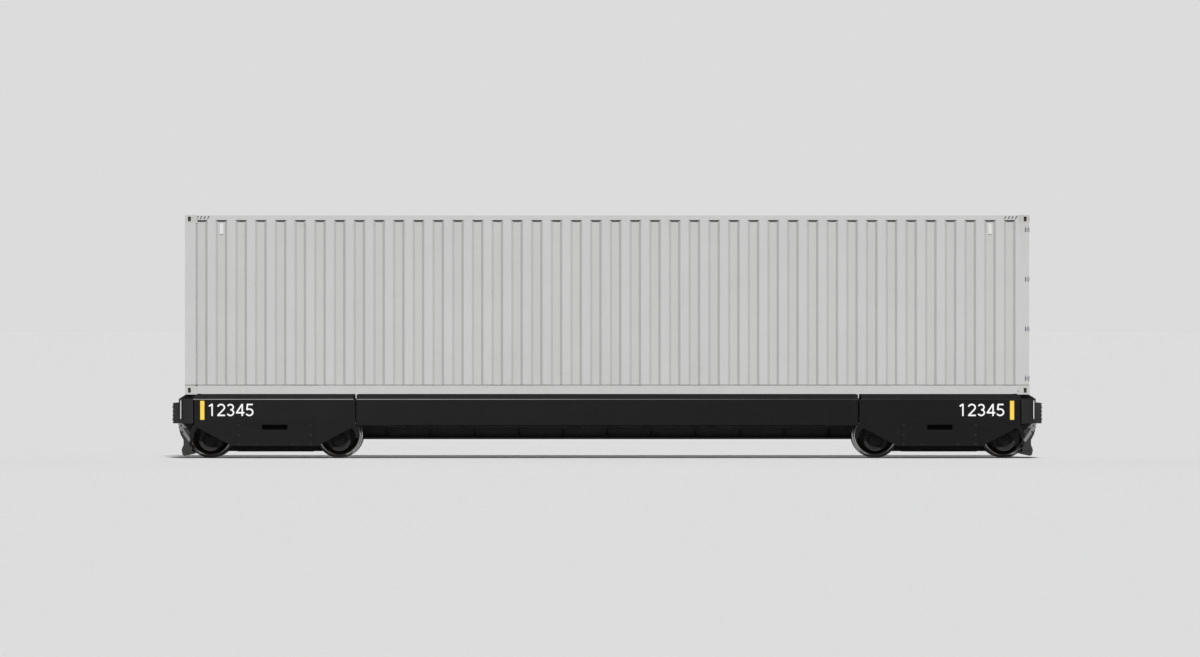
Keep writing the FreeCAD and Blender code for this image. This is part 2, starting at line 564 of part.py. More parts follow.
def skirts():
    """Folded side panels round the wheels, each with an access panel let in."""
    outer = [("side_half", "deck_edge"), ("side_half", "knee"), (side_at("skirt_low"), "skirt_low")]
    inner = [(side_at("skirt_low", "plate"), "skirt_low"), ("side_half - plate", "knee"),
             ("side_half - plate", "deck_edge")]
    side = prism("skirt_sheet", "x", outer + inner, "pivot - arm_reach", "2 * arm_reach")
    # the outline of the rear half; the front half mirrors it about the pivot
    edge = [("skirt_half", "deck_edge"), ("skirt_half", "arm_top"),
            ("arm_reach - arm_corner", "arm_top - arm_slope"),
            ("arm_reach", "arm_top - arm_drop"), ("arm_reach", "arm_low"), ("arm_inner", "arm_low"),
            ("arm_inner - arm_bend", "arm_low + arm_bend_rise"),
            ("arm_inner - arm_fold", "arm_low + arm_fold_rise"),
            ("arch_reach", "arch_height"), ("flat_half", "skirt_low")]
    outline = [(f"pivot + {along}", up) for along, up in edge]
    outline += [(f"pivot - ({along})", up) for along, up in reversed(edge)]
    face = prism("skirt_face", "y", outline, "0", "side_half + 10")
    blank = common("skirt_blank", side, face)
    opening = block("panel_opening", ("pivot - panel_half", "pivot + panel_half"),
                    ("0", "side_half + 10"), ("skirt_low - 10", "panel_top"))
    skirt = cut("skirt", blank, [opening])
    patch = block("panel_patch", ("pivot - panel_half + seam", "pivot + panel_half - seam"),
                  ("0", "side_half + 10"), ("skirt_low", "panel_top - seam"))
    slot = block("panel_slot", ("pivot - slot_half", "pivot + slot_half"),
                 ("0", "side_half + 10"), ("slot_low", "slot_high"))
    panel = cut("access_panel", common("panel_sheet", side, patch), [slot])

    node("rear_right_skirt", skirt)
    left = node("rear_left_skirt", mirror("rear_left", skirt, "y"))
    node("front_right_skirt", mirror("front_right", skirt, "x"))
    node("front_left_skirt", mirror("front_left", left, "x"))
    node("access_panels", pair("panels", pair("rear_panels", panel, "y"), "x"))


def edge_strips():
    """Drip strips along the top of the side faces, one to each deck and side."""
    face, tall = ("side_half", "side_half + strip_proud"), ("deck_edge - strip_tall", "deck_edge")
    middle = block("middle_strip", ("-middle_half", "middle_half"), face, tall)
    end = block("end_strip", ("slab_start", "nose_start"), face, tall)
    node("edge_strips", group("strips", [pair("middle_strips", middle, "y"),
                                         pair("end_strips", pair("rear_strips", end, "y"), "x")]))


def ends():
    """Nose, bumper, lamps and pilot of the rear end, and their mirror images."""
    shape = [("nose_start", "-side_half"), ("nose_end", "-nose_half"), ("nose_end", "nose_half"),
             ("nose_start", "side_half")]
    outside = prism("nose_outside", "z", shape, "nose_low", "deck_edge - nose_low")
    hollow = prism("nose_hollow", "z", [
        ("nose_start - 1", "1.3 * nose_wall - side_half"),
        ("nose_start", "1.3 * nose_wall - side_half"), ("nose_end - nose_wall", "nose_lip - nose_half"),
        ("nose_end - nose_wall", "nose_half - nose_lip"), ("nose_start", "side_half - 1.3 * nose_wall"),
        ("nose_start - 1", "side_half - 1.3 * nose_wall"),
    ], "nose_low - 1", "deck_edge - nose_low - nose_wall + 1")
    section = prism("nose_section", "x", [
        (f"-({side_at('nose_low')})", "nose_low"), ("-side_half", "knee"), ("-side_half", "deck_edge"),
        ("side_half", "deck_edge"), ("side_half", "knee"), (side_at("nose_low"), "nose_low"),
    ], "nose_start", "nose_end - nose_start")
    rear = node("rear_nose", cut("nose", common("nose_solid", outside, section), [hollow]))
    node("front_nose", mirror("nose_image", rear, "x"))

    wide = "bumper_half + bumper_flare"
    pad = prism("bumper", "z", [("nose_end", f"-({wide})"), ("bumper_end", "-bumper_half"),
                                ("bumper_end", "bumper_half"), ("nose_end", wide)],
                "bumper_low", "bumper_high - bumper_low")
    rear = node("rear_bumper", pad)
    node("front_bumper", mirror("bumper_image", rear, "x"))

    # a lamp stands on the slanting corner, its back on the nose
    run, fall = "(nose_end - nose_start)", "(side_half - nose_half)"
    normal_x = f"lamp_proud * {fall} / sqrt({run} ^ 2 + {fall} ^ 2)"
    normal_y = f"lamp_proud * {run} / sqrt({run} ^ 2 + {fall} ^ 2)"
    near = ("lamp_from", f"side_half - (lamp_from - nose_start) * {fall} / {run}")
    far = ("lamp_from + lamp_long",
           f"side_half - (lamp_from + lamp_long - nose_start) * {fall} / {run}")
    lamp = prism("lamp", "z", [near, far,
                               (f"{far[0]} + {normal_x}", f"{far[1]} + {normal_y}"),
                               (f"{near[0]} + {normal_x}", f"{near[1]} + {normal_y}")],
                 "lamp_low", "lamp_high - lamp_low")
    node("light_bars", pair("lamps", pair("rear_lamps", lamp, "y"), "x"))

    blade = prism("blade", "y", [
        ("blade_back", "blade_low + blade_ease / 2"), ("blade_back + 2", "blade_low"),
        ("blade_face", "blade_low + blade_ease"),
        ("blade_nose", "blade_mid"), ("blade_face", "blade_high"), ("blade_back", "blade_high"),
    ], "-blade_half", "2 * blade_half")
    hanger = prism("hanger", "y", [
        ("hanger_back", "nose_low"), ("nose_end - neck_back", "nose_low"), ("nose_end - neck_front", "neck_height"),
        ("nose_end - throat", "throat_height"), ("nose_end - waist", "waist_high"),
        ("nose_end - waist", "waist_low"),
        ("blade_face", "blade_high"), ("blade_back + toe_lift", "blade_low + toe_lift"),
        ("toe", "toe_height"),
        ("hanger_heel", "hanger_low"), ("hanger_heel", "hanger_low + heel_front"),
        ("hanger_back", "hanger_low + heel_back"),
    ], "hanger_side", "plate")
    left = mirror("left_hanger", hanger, "y")
    rear = node("rear_pilot", join("pilot", [blade, hanger, left]))
    node("front_pilot", mirror("pilot_image", rear, "x"))

    # a bracket under the bumper's corner and the slanting strut below it
    bracket = prism("stay_bracket", "y", [
        ("nose_end - bracket_in", "nose_low - 1"), ("nose_end + bracket_out", "nose_low - 1"),
        ("nose_end - 4", "stay_top"), ("nose_end - bracket_tip", "bracket_low"),
        ("nose_end - bracket_heel", "bracket_back"),
    ], "hanger_side + plate", "plate")
    strut = prism("stay_strut", "y", [
        ("nose_end - 4", "stay_top"), ("nose_end + 3", "stay_knee"),
        ("nose_end - strut_front", "stay_foot - strut_tip"),
        ("nose_end - strut_back", "stay_foot + strut_tip"), ("nose_end - neck_back", "stay_knee"),
    ], "hanger_side + plate", "plate")
    stay = join("stay", [bracket, strut])
    node("pilot_stays", pair("stays", pair("rear_stays", stay, "y"), "x"))


def battery_packs():
    """A plain block each side of the sill, under the middle deck."""
    pack = block("pack", ("-battery_half", "battery_half"), ("sill_half", "battery_side"),
                 ("battery_low", "deck_edge"))
    node("battery_packs", pair("packs", pack, "y"))


def container_locks():
    """The fixed cones that stand in the container's bottom castings."""
    middle = (f"{BOX_HALF} - casting_hole_inset", f"{BOX_SIDE} - casting_hole_side")
    stem = rod("lock_stem", "z", "lock_stem", (middle[0], middle[1], "deck_top"), "lock_rise")
    head = doc.addObject("Part::Cone", "lock_head")
    head.setExpression("Radius1", link("lock_stem"))
    head.setExpression("Radius2", link("lock_tip"))
    head.setExpression("Height", link("lock_head"))
    for place, formula in zip("xyz", (middle[0], middle[1], "deck_top + lock_rise")):
        head.setExpression("Placement.Base." + place, link(formula))
    lock = join("lock", [stem, head])
    node("container_locks", pair("locks", pair("rear_locks", lock, "y"), "x"))


# ---------------------------------------------------------------- the bogies

def wheelset(name, middle):
    """An axle with its two flanged wheels, and the mirror image at the front."""
    axle = rod("axle_" + name, "y", "axle_radius", (middle, "axle_play - beam_in", "axle_height"),
               "2 * beam_in - 2 * axle_play")
    journal = rod("journal_" + name, "y", "journal", (middle, "-axle_half", "axle_height"),
                  "2 * axle_half")
    rear = node(f"rear_{name}_axle", join("axle_whole_" + name, [axle, journal]))
    node(f"front_{name}_axle", mirror("axle_image_" + name, rear, "x"))

    web = "wheel_back + web_inset"
    profile = [
        ("axle_radius", "wheel_back - 15"), ("hub_radius", "wheel_back - 15"),
        ("hub_radius + 12", web), ("rim_inner - 8", f"{web} - 8"), ("rim_inner", "wheel_back"),
        ("flange_tip - 8", "wheel_back"), ("flange_tip", "wheel_back + 10"),
        ("flange_tip - 3", "wheel_back + 20"), ("tread + 6", "wheel_back + flange_wide"),
        ("tread", "wheel_back + flange_wide + 12"), ("tread - 3", "wheel_face - 8"),
        ("tread - 10", "wheel_face"), ("rim_inner + 4", "wheel_face"),
        ("rim_inner - 4", f"{web} + web_thick - 6"), ("hub_radius + 12", f"{web} + web_thick"),
        ("hub_radius - 5", "wheel_face + 20"), ("axle_radius", "wheel_face + 20"),
    ]
    body = doc.addObject("PartDesign::Body", "wheel_" + name)
    sketch = polygon(body, "wheel_profile_" + name, "z", profile)
    turned = body.newObject("PartDesign::Revolution", "wheel_turned_" + name)
    turned.Profile = sketch
    turned.ReferenceAxis = (sketch, ["V_Axis"])
    turned.Angle = 360
    body.setExpression("Placement.Base.x", link(middle))
    body.setExpression("Placement.Base.z", link("axle_height"))
    rear = node(f"rear_{name}_wheels", pair("wheels_" + name, body, "y"))
    node(f"front_{name}_wheels", mirror("wheels_image_" + name, rear, "x"))


def bogie():
    """Frame, equipment case and wheel motors of the rear bogie, and the front's."""
    pieces = []
    bores = []
    for name, middle in (("outer", "pivot + axle_offset"), ("inner", "pivot - axle_offset")):
        pieces.append(block("axle_box_" + name, (f"{middle} - box_half", f"{middle} + box_half"),
                            ("beam_in", "beam_out"), ("box_low", "beam_low + 20")))
        bores.append(rod("journal_bore_" + name, "y", "journal + journal_play",
                         (middle, "beam_in - 1", "axle_height"), "beam_out - beam_in + 2"))
    pieces.append(block("side_beam", ("pivot - beam_half", "pivot + beam_half"),
                        ("beam_in", "beam_out"), ("beam_low", "beam_high")))
    side = cut("bogie_side", join("bogie_side_solid", pieces), bores)
    transom = block("transom", ("pivot - transom_half", "pivot + transom_half"),
                    ("-beam_out", "beam_out"), ("transom_low", "beam_high"))
    plate = rod("centre_bearing", "z", "bearing_radius", ("pivot", "0", "beam_high"),
                "unit_floor - bearing_gap - beam_high")
    hole = rod("pin_bore", "z", "centre_pin + journal_play", ("pivot", "0", "transom_low - 1"),
               "unit_floor - transom_low + 2")
    frame = join("bogie_solid", [side, mirror("bogie_side_image", side, "y"), transom, plate])
    rear = node("rear_bogie_frame", cut("bogie_frame", frame, [hole]))
    node("front_bogie_frame", mirror("bogie_frame_image", rear, "x"))

    rear = node("rear_equipment_case",
                block("equipment_case", ("pivot - case_half", "pivot + case_half"),
                      ("-case_side", "case_side"), ("case_low", "transom_low")))
    node("front_equipment_case", mirror("equipment_case_image", rear, "x"))

    drums = []
    for name, middle in (("outer", "pivot + axle_offset"), ("inner", "pivot - axle_offset")):
        level = "axle_height - motor_drop"
        drum = rod("motor_" + name, "y", "motor_radius", (middle, "beam_out", level),
                   "motor_face - beam_out")
        dish = rod("motor_dish_" + name, "y", "motor_dish", (middle, "motor_face - motor_dish_deep", level),
                   "motor_dish_deep + 1")
        drums.append(pair("motors_" + name, cut("motor_cover_" + name, drum, [dish]), "y"))
    rear = node("rear_wheel_motors", group("motors", drums))
    node("front_wheel_motors", mirror("motors_image", rear, "x"))
    wheelset("outer", "pivot + axle_offset")
    wheelset("inner", "pivot - axle_offset")


def write_parts():
    """Check that every object and sub-part built well, then write the sub-parts."""
    doc.recompute()
    for item in doc.Objects:
        if "Invalid" in item.State or "Error" in item.State:
            raise RuntimeError("failed to build: " + item.Label)
    for piece in nodes:
        if piece.Shape.isNull() or not piece.Shape.isValid():
            raise RuntimeError("bad shape: " + piece.Label)
    os.makedirs("parts", exist_ok=True)
    for piece in nodes:
        piece.Shape.exportStep("parts/%s.step" % piece.Label)
        print(piece.Label, len(piece.Shape.Solids), "solids",
              round(piece.Shape.Volume / 1e9, 4), "cubic metres")


corner_castings()
container_frame()
container_skin()
ventilators()
doors()
middle_deck()
centre_sill()
end_decks()
skirts()
edge_strips()
ends()
battery_packs()
container_locks()
bogie()
write_parts()
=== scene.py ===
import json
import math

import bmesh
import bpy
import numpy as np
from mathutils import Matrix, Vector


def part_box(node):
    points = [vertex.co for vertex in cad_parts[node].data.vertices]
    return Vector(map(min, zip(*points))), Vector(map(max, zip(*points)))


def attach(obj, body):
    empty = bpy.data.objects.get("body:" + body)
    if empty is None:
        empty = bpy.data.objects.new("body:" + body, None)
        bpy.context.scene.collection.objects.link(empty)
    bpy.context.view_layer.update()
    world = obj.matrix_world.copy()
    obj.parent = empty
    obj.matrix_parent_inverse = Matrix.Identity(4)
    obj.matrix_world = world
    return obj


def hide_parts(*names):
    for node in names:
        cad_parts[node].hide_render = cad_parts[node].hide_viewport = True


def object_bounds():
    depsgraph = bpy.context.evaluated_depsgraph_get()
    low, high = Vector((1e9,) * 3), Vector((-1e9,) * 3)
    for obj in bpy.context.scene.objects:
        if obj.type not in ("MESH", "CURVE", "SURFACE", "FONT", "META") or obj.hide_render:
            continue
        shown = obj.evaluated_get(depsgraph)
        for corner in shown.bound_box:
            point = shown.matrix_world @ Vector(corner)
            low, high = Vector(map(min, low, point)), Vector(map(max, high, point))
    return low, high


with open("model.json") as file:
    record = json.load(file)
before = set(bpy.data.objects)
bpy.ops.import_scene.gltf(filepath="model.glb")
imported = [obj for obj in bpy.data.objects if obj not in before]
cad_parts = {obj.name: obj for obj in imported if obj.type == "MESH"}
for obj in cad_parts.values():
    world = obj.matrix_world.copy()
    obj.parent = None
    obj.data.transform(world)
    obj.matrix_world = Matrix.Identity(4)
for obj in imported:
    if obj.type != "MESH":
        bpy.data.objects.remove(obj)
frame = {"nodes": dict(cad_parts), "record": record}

# %% [markdown]
# # A battery-electric flatcar with a container
# The frame that is loaded above holds the finished design: every plate, wheel and door is already a
# mesh at its true size.  This lesson gives it its looks: the finishes, and the small parts that a
# design leaves out, such as bolts, seals, markings and lamps.  Sizes are in metres.  +X points to the
# end with the container's doors, the side that faces the camera is -Y, and the rails run along X.

cad_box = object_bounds()
low, high = (np.array(corner) for corner in cad_box)
print("the design measures", np.round(high - low, 3), "m, in", len(frame["nodes"]), "nodes")

# %% [markdown]
# ## The camera
# A long lens from far away takes the perspective out of a twelve-metre vehicle, so its ends don't
# shrink and its far wheels hide behind the near ones.  The camera stands level, at about a person's
# eye height, because a level camera keeps every post upright.

# %% The camera
SENSOR = 0.036
DISTANCE = 260.0
FRAME_WIDTH = 17.316           # how much of the near side the picture takes in, from edge to edge
EYE_HEIGHT = 1.873
AIM = -0.105                   # the middle of the view, along the rails
near_side = low[1]

camera_data = bpy.data.cameras.new("camera")
camera_data.sensor_width = SENSOR * 1000
camera_data.lens = camera_data.sensor_width * DISTANCE / FRAME_WIDTH
camera_data.clip_start = 1.0
camera_data.clip_end = 20000.0
camera = bpy.data.objects.new("camera", camera_data)
camera.location = (AIM, near_side - DISTANCE, EYE_HEIGHT)
camera.rotation_euler = (math.pi / 2, 0, 0)
bpy.context.scene.collection.objects.link(camera)
bpy.context.scene.camera = camera
print("lens", round(camera_data.lens, 1), "mm")

# %% [markdown]
# ## Laying nodes
# A material is a small diagram of nodes.  One helper adds a node, sets it, and plugs in its sockets,
# where each socket takes either a number or the output of another node.  It keeps every later cell
# down to the idea of the material.

# %% Helpers for node diagrams
def lay(tree, kind, sockets=None, **settings):
    """Adds one node.  A socket's value is a number or colour, or another node's output to link."""
    node = tree.nodes.new("ShaderNode" + kind)
    for name, value in settings.items():
        setattr(node, name, value)
    for name, value in (sockets or {}).items():
        if isinstance(value, bpy.types.NodeSocket):
            tree.links.new(value, node.inputs[name])
        else:
            node.inputs[name].default_value = value
    return node


def rgb(red, green, blue):
    """A colour from three numbers, with full cover."""
    return (red, green, blue, 1.0)


def grey(level):
    """A colour with no tint."""
    return rgb(level, level, level)


def maths(tree, operation, first, second=0.0, third=0.0, clamp=False):
    """One sum as a node: first operation second."""
    node = lay(tree, "Math", {0: first, 1: second, 2: third}, operation=operation, use_clamp=clamp)
    return node.outputs[0]


def fade(tree, value, start, end):
    """A soft step: 0 below start, 1 above end, and an S-shaped rise between them."""
    node = lay(tree, "MapRange", {"Value": value, "From Min": start, "From Max": end},
               interpolation_type="SMOOTHSTEP")
    return node.outputs[0]


def falling(tree, value, start, end):
    """A soft step down: 1 below start, 0 above end."""
    return maths(tree, "SUBTRACT", 1.0, fade(tree, value, start, end))


def blend_colour(tree, share, first, second):
    """first where share is 0, second where it is 1."""
    node = lay(tree, "Mix", {0: share, 6: first, 7: second}, data_type="RGBA")
    return node.outputs[2]


def stretched(tree, scale):
    """The object's own coordinates, multiplied by three numbers."""
    place = lay(tree, "TexCoord").outputs["Object"]
    return lay(tree, "Mapping", {"Vector": place, "Scale": scale}).outputs[0]


def coordinate(tree, axis):
    """One of the object's own coordinates, in metres."""
    return lay(tree, "SeparateXYZ", {0: lay(tree, "TexCoord").outputs["Object"]}).outputs[axis]


def noise(tree, place, detail, rough=0.5, scale=1.0, warp=0.0):
    """Fractal noise from 0 to 1, with this many layers, each finer one weaker by rough."""
    return lay(tree, "TexNoise", {"Vector": place, "Scale": scale, "Detail": detail, "Roughness": rough,
                                  "Distortion": warp}).outputs[0]

# %% [markdown]
# ## The floor, the backdrop and the light
# A plain pale studio.  The floor reaches so far that its edge lies beyond what the camera can tell,
# and it is as light as the backdrop, so that no line shows between them.  One broad lamp in front
# throws the short shadows that make the folds of the container's walls stand out, and sets the car
# on a dark shadow.  A weak one high behind the car softens that.  Four more, low down, give the
# folds' two slopes their difference and light the ends and the far side.  Sun lamps light a long
# vehicle and a wide floor evenly, where a lamp that stands near would fade along them.  What the
# floor hands on to the vehicle is dimmer than what the camera sees of it, as little light comes up
# from below.

# %% The studio
PALE = 0.716                    # how light the backdrop is
REACH = 9000.0                  # from the middle of the floor to its edges

mesh = bpy.data.meshes.new("floor")
mesh.from_pydata([(-REACH, -REACH, 0), (REACH, -REACH, 0), (REACH, REACH, 0), (-REACH, REACH, 0)], [],
                 [(0, 1, 2, 3)])
floor = bpy.data.objects.new("floor", mesh)
bpy.context.scene.collection.objects.link(floor)

paper = bpy.data.materials.new("studio_paper")
paper.use_nodes = True
tree = paper.node_tree
shader = tree.nodes["Principled BSDF"]
shader.inputs["Base Color"].default_value = grey(0.717)
shader.inputs["Roughness"].default_value = 1.0
shader.inputs["Specular IOR Level"].default_value = 0.0
dim = lay(tree, "BsdfDiffuse", {"Color": grey(0.12)})
bounce = lay(tree, "LightPath").outputs["Is Diffuse Ray"]
mixed = lay(tree, "MixShader", {0: bounce, 1: shader.outputs[0], 2: dim.outputs[0]})
tree.links.new(mixed.outputs[0], tree.nodes["Material Output"].inputs["Surface"])
floor.data.materials.append(paper)

sky = bpy.data.worlds.new("studio")
bpy.context.scene.world = sky
sky.use_nodes = True
tree = sky.node_tree
seen = lay(tree, "LightPath").outputs["Is Camera Ray"]
tint = blend_colour(tree, seen, rgb(0.06, 0.06, 0.062), grey(PALE))
tree.links.new(tint, tree.nodes["Background"].inputs["Color"])


def sun(name, strength, azimuth, elevation, softness):
    """A lamp infinitely far away.  Azimuth 0 shines along +Y, and 90 along -X."""
    data = bpy.data.lights.new(name, "SUN")
    data.energy, data.angle = strength, math.radians(softness)
    lamp = bpy.data.objects.new(name, data)
    lamp.rotation_euler = (math.radians(90 - elevation), 0, math.radians(azimuth))
    bpy.context.scene.collection.objects.link(lamp)


sun("key", 3.80, 4, 40, 6)
sun("high", 0.30, 180, 55, 12)
sun("right_fill", 0.32, 60, 4, 40)
sun("left_fill", 0.12, -62, 4, 40)
sun("right_end", 1.30, 145, 3, 30)
sun("left_end", 1.40, -145, 3, 30)
bpy.context.scene.view_settings.view_transform = "Standard"

# %% [markdown]
# ## Effects that several finishes share
# Real paint is never one colour.  It is cloudy over an arm's length, rain draws streaks down it, dust
# settles low on it, and things scratch it.  Each effect is a node group with named inputs and
# outputs, so that every finish can use it with its own values.  A group puts out only masks, colours
# and heights: the shader stays in the material.

# %% A way to start a group
def new_group(name, inputs, outputs):
    """A group with number inputs {name: default} (a colour where the default has four numbers)."""
    tree = bpy.data.node_groups.new(name, "ShaderNodeTree")
    for label, value in inputs.items():
        kind = "NodeSocketColor" if isinstance(value, tuple) else "NodeSocketFloat"
        tree.interface.new_socket(name=label, in_out="INPUT", socket_type=kind).default_value = value
    for label in outputs:
        kind = "NodeSocketColor" if label.endswith("Colour") else "NodeSocketFloat"
        tree.interface.new_socket(name=label, in_out="OUTPUT", socket_type=kind)
    return tree, tree.nodes.new("NodeGroupInput").outputs, tree.nodes.new("NodeGroupOutput").inputs


def scaled_place(tree, scale, across=1.0, along=1.0, up=1.0):
    """Object coordinates times scale, stretched by three shares."""
    place = lay(tree, "TexCoord").outputs["Object"]
    place = lay(tree, "VectorMath", {0: place, 1: (across, along, up)}, operation="MULTIPLY")
    place = lay(tree, "VectorMath", {0: place.outputs[0], "Scale": scale}, operation="SCALE")
    return place.outputs[0]


def give(tree, given, gives, mask):
    """Scales a mask by the group's Amount and hands it out.  The result is the finished group."""
    tree.links.new(maths(tree, "MULTIPLY", mask, given["Amount"], clamp=True), gives["Mask"])
    return tree

# %% Clouds: noise, spread out about its middle
CLOUDS, given, gives = new_group("clouds", {"Scale": 1.0, "Contrast": 1.0}, ["Mask"])
broad = noise(CLOUDS, scaled_place(CLOUDS, given["Scale"]), 5.0, 0.6)
mask = maths(CLOUDS, "SUBTRACT", broad, 0.5)
mask = maths(CLOUDS, "MULTIPLY_ADD", mask, given["Contrast"], 0.5, clamp=True)
CLOUDS.links.new(mask, gives["Mask"])

# %% Streaks: noise that is stretched downwards, so that it runs like rain
tree, given, gives = new_group("streaks", {"Scale": 6.0, "Amount": 0.5}, ["Mask"])
runs = noise(tree, scaled_place(tree, given["Scale"], up=0.05), 4.0, 0.65)
patch = noise(tree, scaled_place(tree, 0.9), 2.0)
mask = maths(tree, "MULTIPLY", fade(tree, runs, 0.52, 0.78), fade(tree, patch, 0.35, 0.7))
STREAKS = give(tree, given, gives, mask)

# %% Dust: thickest low down and on faces that look up, and patchy
tree, given, gives = new_group("dust", {"Low": 0.1, "High": 0.8, "Amount": 0.5, "Level Faces": 0.5},
                               ["Mask"])
height = coordinate(tree, "Z")
span = maths(tree, "SUBTRACT", given["High"], given["Low"])
share = maths(tree, "DIVIDE", maths(tree, "SUBTRACT", given["High"], height), span, clamp=True)
upward = lay(tree, "SeparateXYZ", {0: lay(tree, "NewGeometry").outputs["Normal"]}).outputs["Z"]
upward = maths(tree, "MULTIPLY", fade(tree, upward, 0.3, 0.95), given["Level Faces"])
patchy = fade(tree, noise(tree, scaled_place(tree, 7.0), 7.0, 0.7), 0.3, 0.75)
mask = maths(tree, "MULTIPLY", maths(tree, "ADD", share, upward, clamp=True), patchy)
DUST = give(tree, given, gives, mask)

# %% Scratches: thin lines where two warped noises cross their middle value
tree, given, gives = new_group("scratches", {"Scale": 3.0, "Width": 0.004, "Amount": 0.5}, ["Mask"])
first = noise(tree, scaled_place(tree, given["Scale"], across=0.35, up=1.6), 1.0, warp=0.4)
second = noise(tree, scaled_place(tree, given["Scale"], across=1.7, up=0.4), 1.0, scale=1.3, warp=0.6)
lines = []
for value in (first, second):
    away = maths(tree, "ABSOLUTE", maths(tree, "SUBTRACT", value, 0.5))
    lines.append(maths(tree, "SUBTRACT", 1.0, maths(tree, "DIVIDE", away, given["Width"], clamp=True)))
where = noise(tree, scaled_place(tree, given["Scale"]), 3.0, scale=2.1)
mask = maths(tree, "MULTIPLY", maths(tree, "MAXIMUM", *lines), fade(tree, where, 0.5, 0.66))
SCRATCHES = give(tree, given, gives, mask)

# %% Chips: small patches where a finish has come away
tree, given, gives = new_group("chips", {"Scale": 14.0, "Share": 0.3, "Amount": 1.0}, ["Mask"])
spots = noise(tree, scaled_place(tree, given["Scale"]), 6.0, 0.62)
zone = noise(tree, scaled_place(tree, 1.1), 2.0)
edge = maths(tree, "SUBTRACT", 0.78, maths(tree, "MULTIPLY", given["Share"], 0.3))
mask = fade(tree, maths(tree, "SUBTRACT", spots, edge), 0.0, 0.03)
mask = maths(tree, "MULTIPLY", mask, fade(tree, zone, 0.4, 0.6))
CHIPS = give(tree, given, gives, mask)

# %% Skin: the height of sprayed paint's fine ripple over the sheet's broad dents
SKIN, given, gives = new_group("skin", {"Ripple": 0.0002, "Dents": 0.002, "Dent Scale": 2.0}, ["Height"])
fine = noise(SKIN, scaled_place(SKIN, 160.0), 3.0)
wide = noise(SKIN, scaled_place(SKIN, given["Dent Scale"]), 2.0, 0.4)
rise = maths(SKIN, "MULTIPLY", fine, given["Ripple"])
rise = maths(SKIN, "MULTIPLY_ADD", wide, given["Dents"], rise)
SKIN.links.new(rise, gives["Height"])
print("shared effects:", [t.name for t in bpy.data.node_groups])

# %% [markdown]
# ## The finishes
# Two makers cover most of the vehicle.  `painted` is for sheet and cast steel with paint on it: its
# colour is cloudy, rain and dust sit on it, scratches and chips show what is below, and its height
# has the sprayer's ripple and the sheet's dents.  `bare` is for metal without paint: it is metallic,
# its roughness follows a stretched noise as machining leaves it, and rust or grease darkens it.

# %% The two makers
finishes = {}


def use(tree, group, **values):
    """A group's node in a material.  Its inputs are named with _ for a space."""
    node = tree.nodes.new("ShaderNodeGroup")
    node.node_tree = group
    for name, value in values.items():
        node.inputs[name.replace("_", " ")].default_value = value
    return node.outputs[0]


def blank(name):
    """A new material, its tree and its shader."""
    material = bpy.data.materials.new(name)
    material.use_nodes = True
    finishes[name] = material
    return material.node_tree, material.node_tree.nodes["Principled BSDF"]


def connect(tree, shader, colour, rough, height, depth):
    """Plugs a colour, a roughness and a height in metres into a shader."""
    bump = lay(tree, "Bump", {"Height": height, "Distance": depth, "Strength": 1.0})
    tree.links.new(colour, shader.inputs["Base Color"])
    tree.links.new(rough, shader.inputs["Roughness"])
    tree.links.new(bump.outputs[0], shader.inputs["Normal"])


def clouded(tree, share, scale, contrast, swing, least):
    """A share that varies with the clouds: share * (least + swing * cloud)."""
    cloud = use(tree, CLOUDS, Scale=scale, Contrast=contrast)
    return maths(tree, "MULTIPLY", share, maths(tree, "MULTIPLY_ADD", cloud, swing, least), clamp=True)


def painted(name, colour, cloudy, rough, under, dirt, clouds=0.8, streaks=0.3, dust=0.3, dust_top=1.1,
            scratch=0.4, chip=0.2, ripple=0.0003, dents=0.003, dent_scale=1.6):
    """Paint over steel: the colours, then how much of each effect."""
    tree, shader = blank(name)
    base = blend_colour(tree, use(tree, CLOUDS, Scale=1.3, Contrast=clouds * 2), colour, cloudy)
    speck = use(tree, CLOUDS, Scale=38.0, Contrast=1.2)
    base = blend_colour(tree, maths(tree, "MULTIPLY", speck, 0.22), base, cloudy)
    run = use(tree, STREAKS, Scale=5.5, Amount=streaks)
    base = blend_colour(tree, run, base, dirt)
    settled = use(tree, DUST, Low=0.0, High=dust_top, Amount=dust, Level_Faces=0.7)
    base = blend_colour(tree, settled, base, dirt)
    line = use(tree, SCRATCHES, Scale=2.6, Width=0.0035, Amount=scratch)
    base = blend_colour(tree, line, base, under)
    gone = use(tree, CHIPS, Scale=11.0, Share=chip, Amount=min(1.0, chip * 3))
    base = blend_colour(tree, gone, base, under)
    dull = maths(tree, "MULTIPLY_ADD", maths(tree, "ADD", settled, run), 0.3, rough - 0.06)
    dull = maths(tree, "MULTIPLY_ADD", speck, 0.12, dull, clamp=True)
    skin = use(tree, SKIN, Ripple=ripple, Dents=dents, Dent_Scale=dent_scale)
    cut = maths(tree, "MULTIPLY", maths(tree, "MAXIMUM", line, gone), -0.0004)
    connect(tree, shader, base, dull, maths(tree, "ADD", skin, cut), 1.0)
    return tree, shader, base


